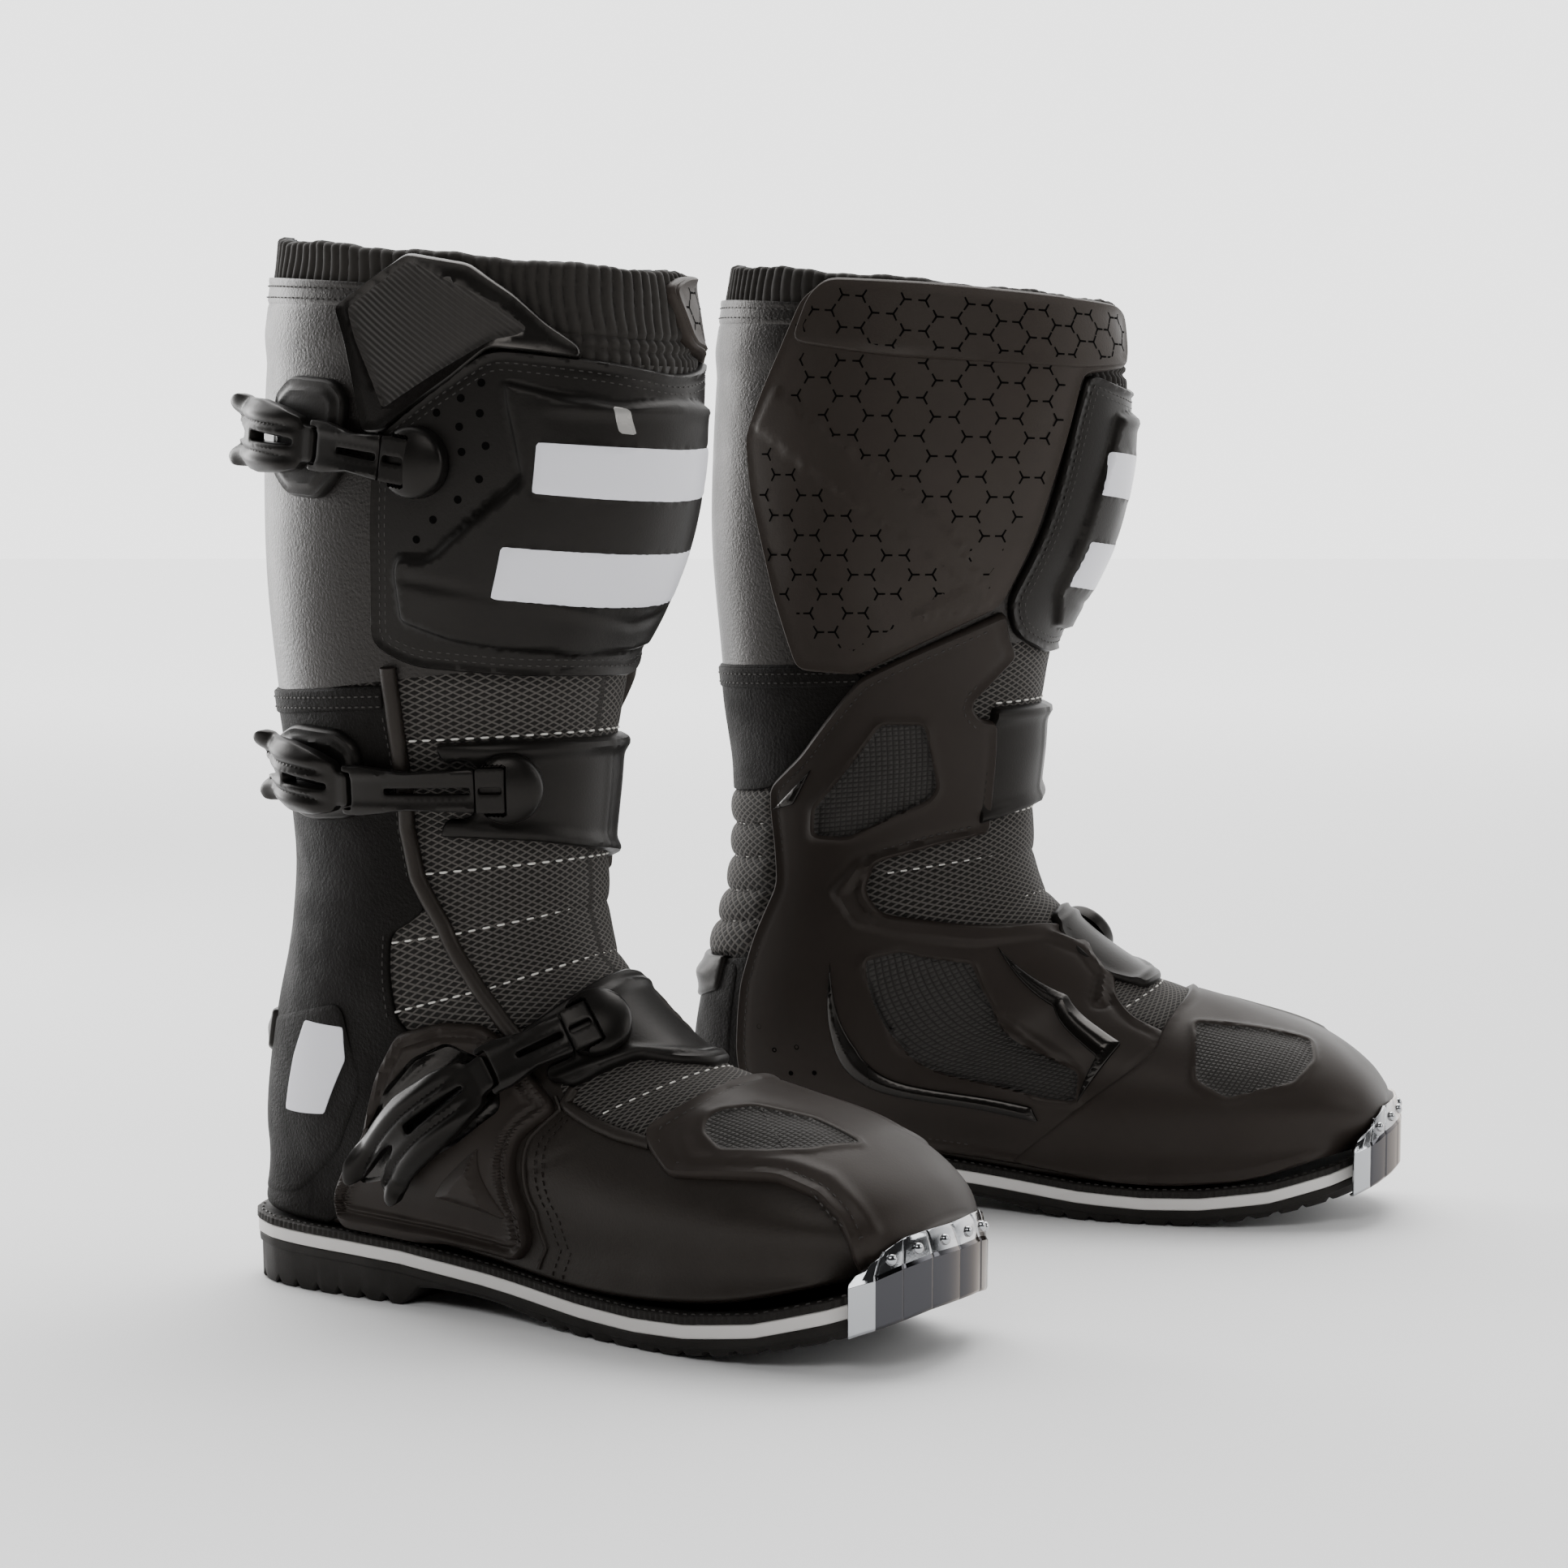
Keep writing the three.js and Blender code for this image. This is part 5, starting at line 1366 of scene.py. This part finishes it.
def moulding(outline, holes, top, base, rim, step, onto):
    """A closed moulded slab: flat outline and holes in mm, upper and lower heights as functions
    of (x, y), upper edges rounded by rim, then laid in space by onto(x, y, height)."""
    loops = [outline] + list(holes)
    rings = list(loops)
    for k, loop in enumerate(loops):
        ahead = np.roll(loop, -1, 0) - np.roll(loop, 1, 0)
        side = np.stack([-ahead[:, 1], ahead[:, 0]], -1)
        side /= np.linalg.norm(side, axis=1, keepdims=True) + 1e-12
        probe = loop + side * 0.05
        if within(loop, *probe.T).mean() < 0.5:
            side = -side
        side = side if k == 0 else -side
        rings += [loop + side * rim * f for f in (0.3, 1.0)]
    low, high = outline.min(0), outline.max(0)
    x, y = np.meshgrid(np.arange(low[0], high[0], step * 0.87), np.arange(low[1], high[1], step),
        indexing="ij")
    y = y + (np.arange(len(x)) % 2)[:, None] * step / 2
    seeds = np.stack([x.ravel(), y.ravel()], -1)
    keep = within(outline, *seeds.T) & (flat_gap(loops, seeds) > rim + step * 0.4)
    for h in holes:
        keep &= ~within(h, *seeds.T)
    p, tris = triangles(rings, seeds[keep])
    middle = p[tris].mean(1)
    inner = within(outline, *middle.T)
    for h in holes:
        inner &= ~within(h, *middle.T)
    tris = tris[inner]
    s = np.clip(flat_gap(loops, p) / rim, 0, 1)
    high_z = top(*p.T) - rim * (1 - np.sqrt(np.clip(1 - (1 - s) ** 2, 0, 1)))
    points = np.concatenate([onto(*p.T, high_z), onto(*p.T, base(*p.T))])
    corner = p[tris]
    turn = np.cross(corner[:, 1] - corner[:, 0], corner[:, 2] - corner[:, 0]) < 0
    tris[turn] = tris[turn][:, ::-1]
    edges = np.concatenate([tris[:, [0, 1]], tris[:, [1, 2]], tris[:, [2, 0]]])
    seen = {tuple(e) for e in edges.tolist()}
    rim_edges = np.array([e for e in seen if (e[1], e[0]) not in seen])
    n = len(p)
    walls = np.column_stack([rim_edges[:, 1], rim_edges[:, 0], rim_edges[:, 0] + n,
        rim_edges[:, 1] + n])
    return {"points": points, "faces": [tuple(f) for f in tris.tolist()]
        + [tuple(f) for f in (tris[:, ::-1] + n).tolist()] + [tuple(f) for f in walls.tolist()]}


def along_run(corners):
    """Lays flat (x along the run, y across) points and heights over the leather in space, and
    gives the run's length to each corner."""
    fine = np.concatenate([np.linspace(corners[i], corners[i + 1], 40, endpoint=False)
        for i in range(len(corners) - 1)] + [corners[-1:]])
    line = on_form(*fine.T, STRAP_LEVEL)
    run = np.concatenate([[0], np.linalg.norm(np.diff(line, axis=0), axis=1).cumsum()])
    soft = np.ones(25) / 25
    blur = lambda v: np.stack([np.convolve(np.pad(v[:, k], 12, "edge"), soft, "valid")
        for k in range(3)], -1)
    ahead = blur(np.gradient(line, run, axis=0))
    up = blur(outward(*fine.T))

    def onto(x, y, height):
        pick = lambda v: np.stack([np.interp(x, run, v[:, k]) for k in range(3)], -1)
        past = np.where(x > run[-1], x - run[-1], np.minimum(x, 0))
        a, u = pick(ahead), pick(up)
        a /= np.linalg.norm(a, axis=1, keepdims=True)
        u -= (u * a).sum(1, keepdims=True) * a
        u /= np.linalg.norm(u, axis=1, keepdims=True)
        side = np.cross(a, u)
        return (pick(line) + a * past[:, None] + side * np.asarray(y)[:, None]
            + u * (height - STRAP_LEVEL)[:, None])
    return onto, run[[0, 40, 80, 120]]


# Glass-filled nylon for straps and levers: black, a semi-gloss with tight highlights.
nylon = plain_finish("moulded glass filled nylon", "#0e0d0c", 0.34, 0.2,
    (12, 0.3, 0.42), (0.7, 0.02, 0.5, 8))

for which, corners in BUCKLES.items():
    onto, (_, pin, _, tail) = along_run(corners)
    # Button: a dome cut away where the strap's root lies in it.
    q = np.linspace(0, 2 * np.pi, 60, endpoint=False)
    circle = np.stack([BUTTON * np.cos(q), BUTTON * np.sin(q)], -1)
    crown = lambda x, y: 5.6 + 6.6 * np.sqrt(np.clip(1 - (x * x + y * y) / 200, 0, 1))
    cut = lambda x, y: np.where((x > 0.55) & (np.abs(y) < 9.25), np.minimum(crown(x, y), 7.3),
        crown(x, y))
    button = moulding(circle, [], cut, lambda x, y: np.full(len(x), 3.2), 1.0, 0.9, onto)
    root = flat_loop([[0.9, -8.4], [11.7, -8.2], [11.7, 8.2], [0.9, 8.4]], 0.8, 1.0, 3)
    slot_hole = flat_loop([[2.2, -1.3], [10.6, -1.3], [10.6, 1.3], [2.2, 1.3]], 0.8, 0.8, 3)
    tongue = moulding(root, [slot_hole], lambda x, y: np.full(len(x), 10.1),
        lambda x, y: np.full(len(x), 7.2), 0.5, 1.4, onto)
    make_piece(f"{which}_button", joined([button, tongue]), [nylon], "foot"
        if which == "lower" else "shaft",
        [f"{which}_anchor"], crease=30)
    # Strap: two rails with a slot between them, narrow in the middle, and at the end two lugs
    # that hold the pin, with room between them for the lever's nose to turn.
    end, lug = pin - 1.4, pin + 3.0
    body = flat_loop([[12.0, -8.2], [end * 0.62, -7.0], [end - 4, -9.2], [lug, -9.2], [lug, -7.0],
        [end, -7.0], [end, 7.0], [lug, 7.0], [lug, 9.2], [end - 4, 9.2],
        [end * 0.62, 7.0], [12.0, 8.2]], 0.9, 1.0)
    holes = [flat_loop([[13.6, -1.3], [end * 0.76, -1.1], [end * 0.76, 1.1], [13.6, 1.3]], 0.8, 0.9,
        3)]
    rails = lambda x, y: 10.1 + 0.7 * bell(np.abs(y) - 6.2, 1.3)
    strap = moulding(body, holes, rails, lambda x, y: np.full(len(x), 7.1), 0.7, 1.5, onto)
    make_piece(f"{which}_strap_blade", strap, [nylon], f"{which}_strap", [f"{which}_strap"],
        crease=30)
    # Lever: its nose sits on the strap's pin; it swells, parts into two prongs, and its ears
    # turn up.
    x0, length = pin + 0.3, tail - pin
    f = lambda share: x0 + length * share
    half = [(0, 6.5), (0.10, 6.5), (0.12, 9.4), (0.30, 12.2), (0.52, 13.6), (0.80, 13.0),
        (0.98, 13.8),
        (1.05, 11.0), (1.02, 5.5), (0.93, 3.0), (0.74, 1.8)]
    body = flat_loop([[f(s), -w] for s, w in half] + [[f(0.68), 0]]
        + [[f(s), w] for s, w in half[::-1]], 2.2, 1.1)
    slot_hole = flat_loop([[f(0.17), -1.1], [f(0.56), -1.9], [f(0.56), 1.9], [f(0.17), 1.1]], 1.2,
        0.9, 4)
    share = lambda x: np.clip((x - x0) / length, 0, 1.2)
    swell = lambda x: np.sin(np.pi * np.clip(share(x) - 0.1, 0, 0.76) / 0.76)
    flutes = lambda x, y: smooth(share(x), 0.12, 0.3) * (
        -0.9 * bell(np.abs(y) - 5.4, 0.9) + 0.6 * bell(np.abs(y) - 3.2, 1.2)
        + 0.5 * bell(np.abs(y) - 8.2, 1.6))
    arch = lambda x, y: (10.4 + 4.4 * swell(x) + 3.4 * smooth(share(x), 0.84, 1.04)
        * smooth(np.abs(y), 4, 11) + flutes(x, y)
        - 2.4 * smooth(np.abs(y), 9, 13.5) * smooth(share(x), 0.15, 0.4)
        * smooth(share(x), 1.0, 0.8))
    keel = lambda x, y: (7.0 + 1.7 * swell(x) + 3.2 * smooth(share(x), 0.86, 1.04)
        * smooth(np.abs(y), 4, 11))
    lever = moulding(body, [slot_hole], arch, keel, 1.0, 1.3, onto)
    make_piece(f"{which}_lever_fork", lever, [nylon], f"{which}_lever",
        [f"{which}_lever"], crease=34)

for which, outline in BASES.items():
    ridges = lambda t, a, gap: 0.5 * sum(bell(gap - g, 0.9) for g in (1.6, 5.4)) \
        + 0.9 * smooth(gap, 1, 7)
    base = plate(rounded(outline, 4), 3.0, 1.4, 1.4, 0.6, ridges)
    make_piece(f"{which}_base_plate", base, [guard_pu], "shaft", [f"{which}_buckle_base"])
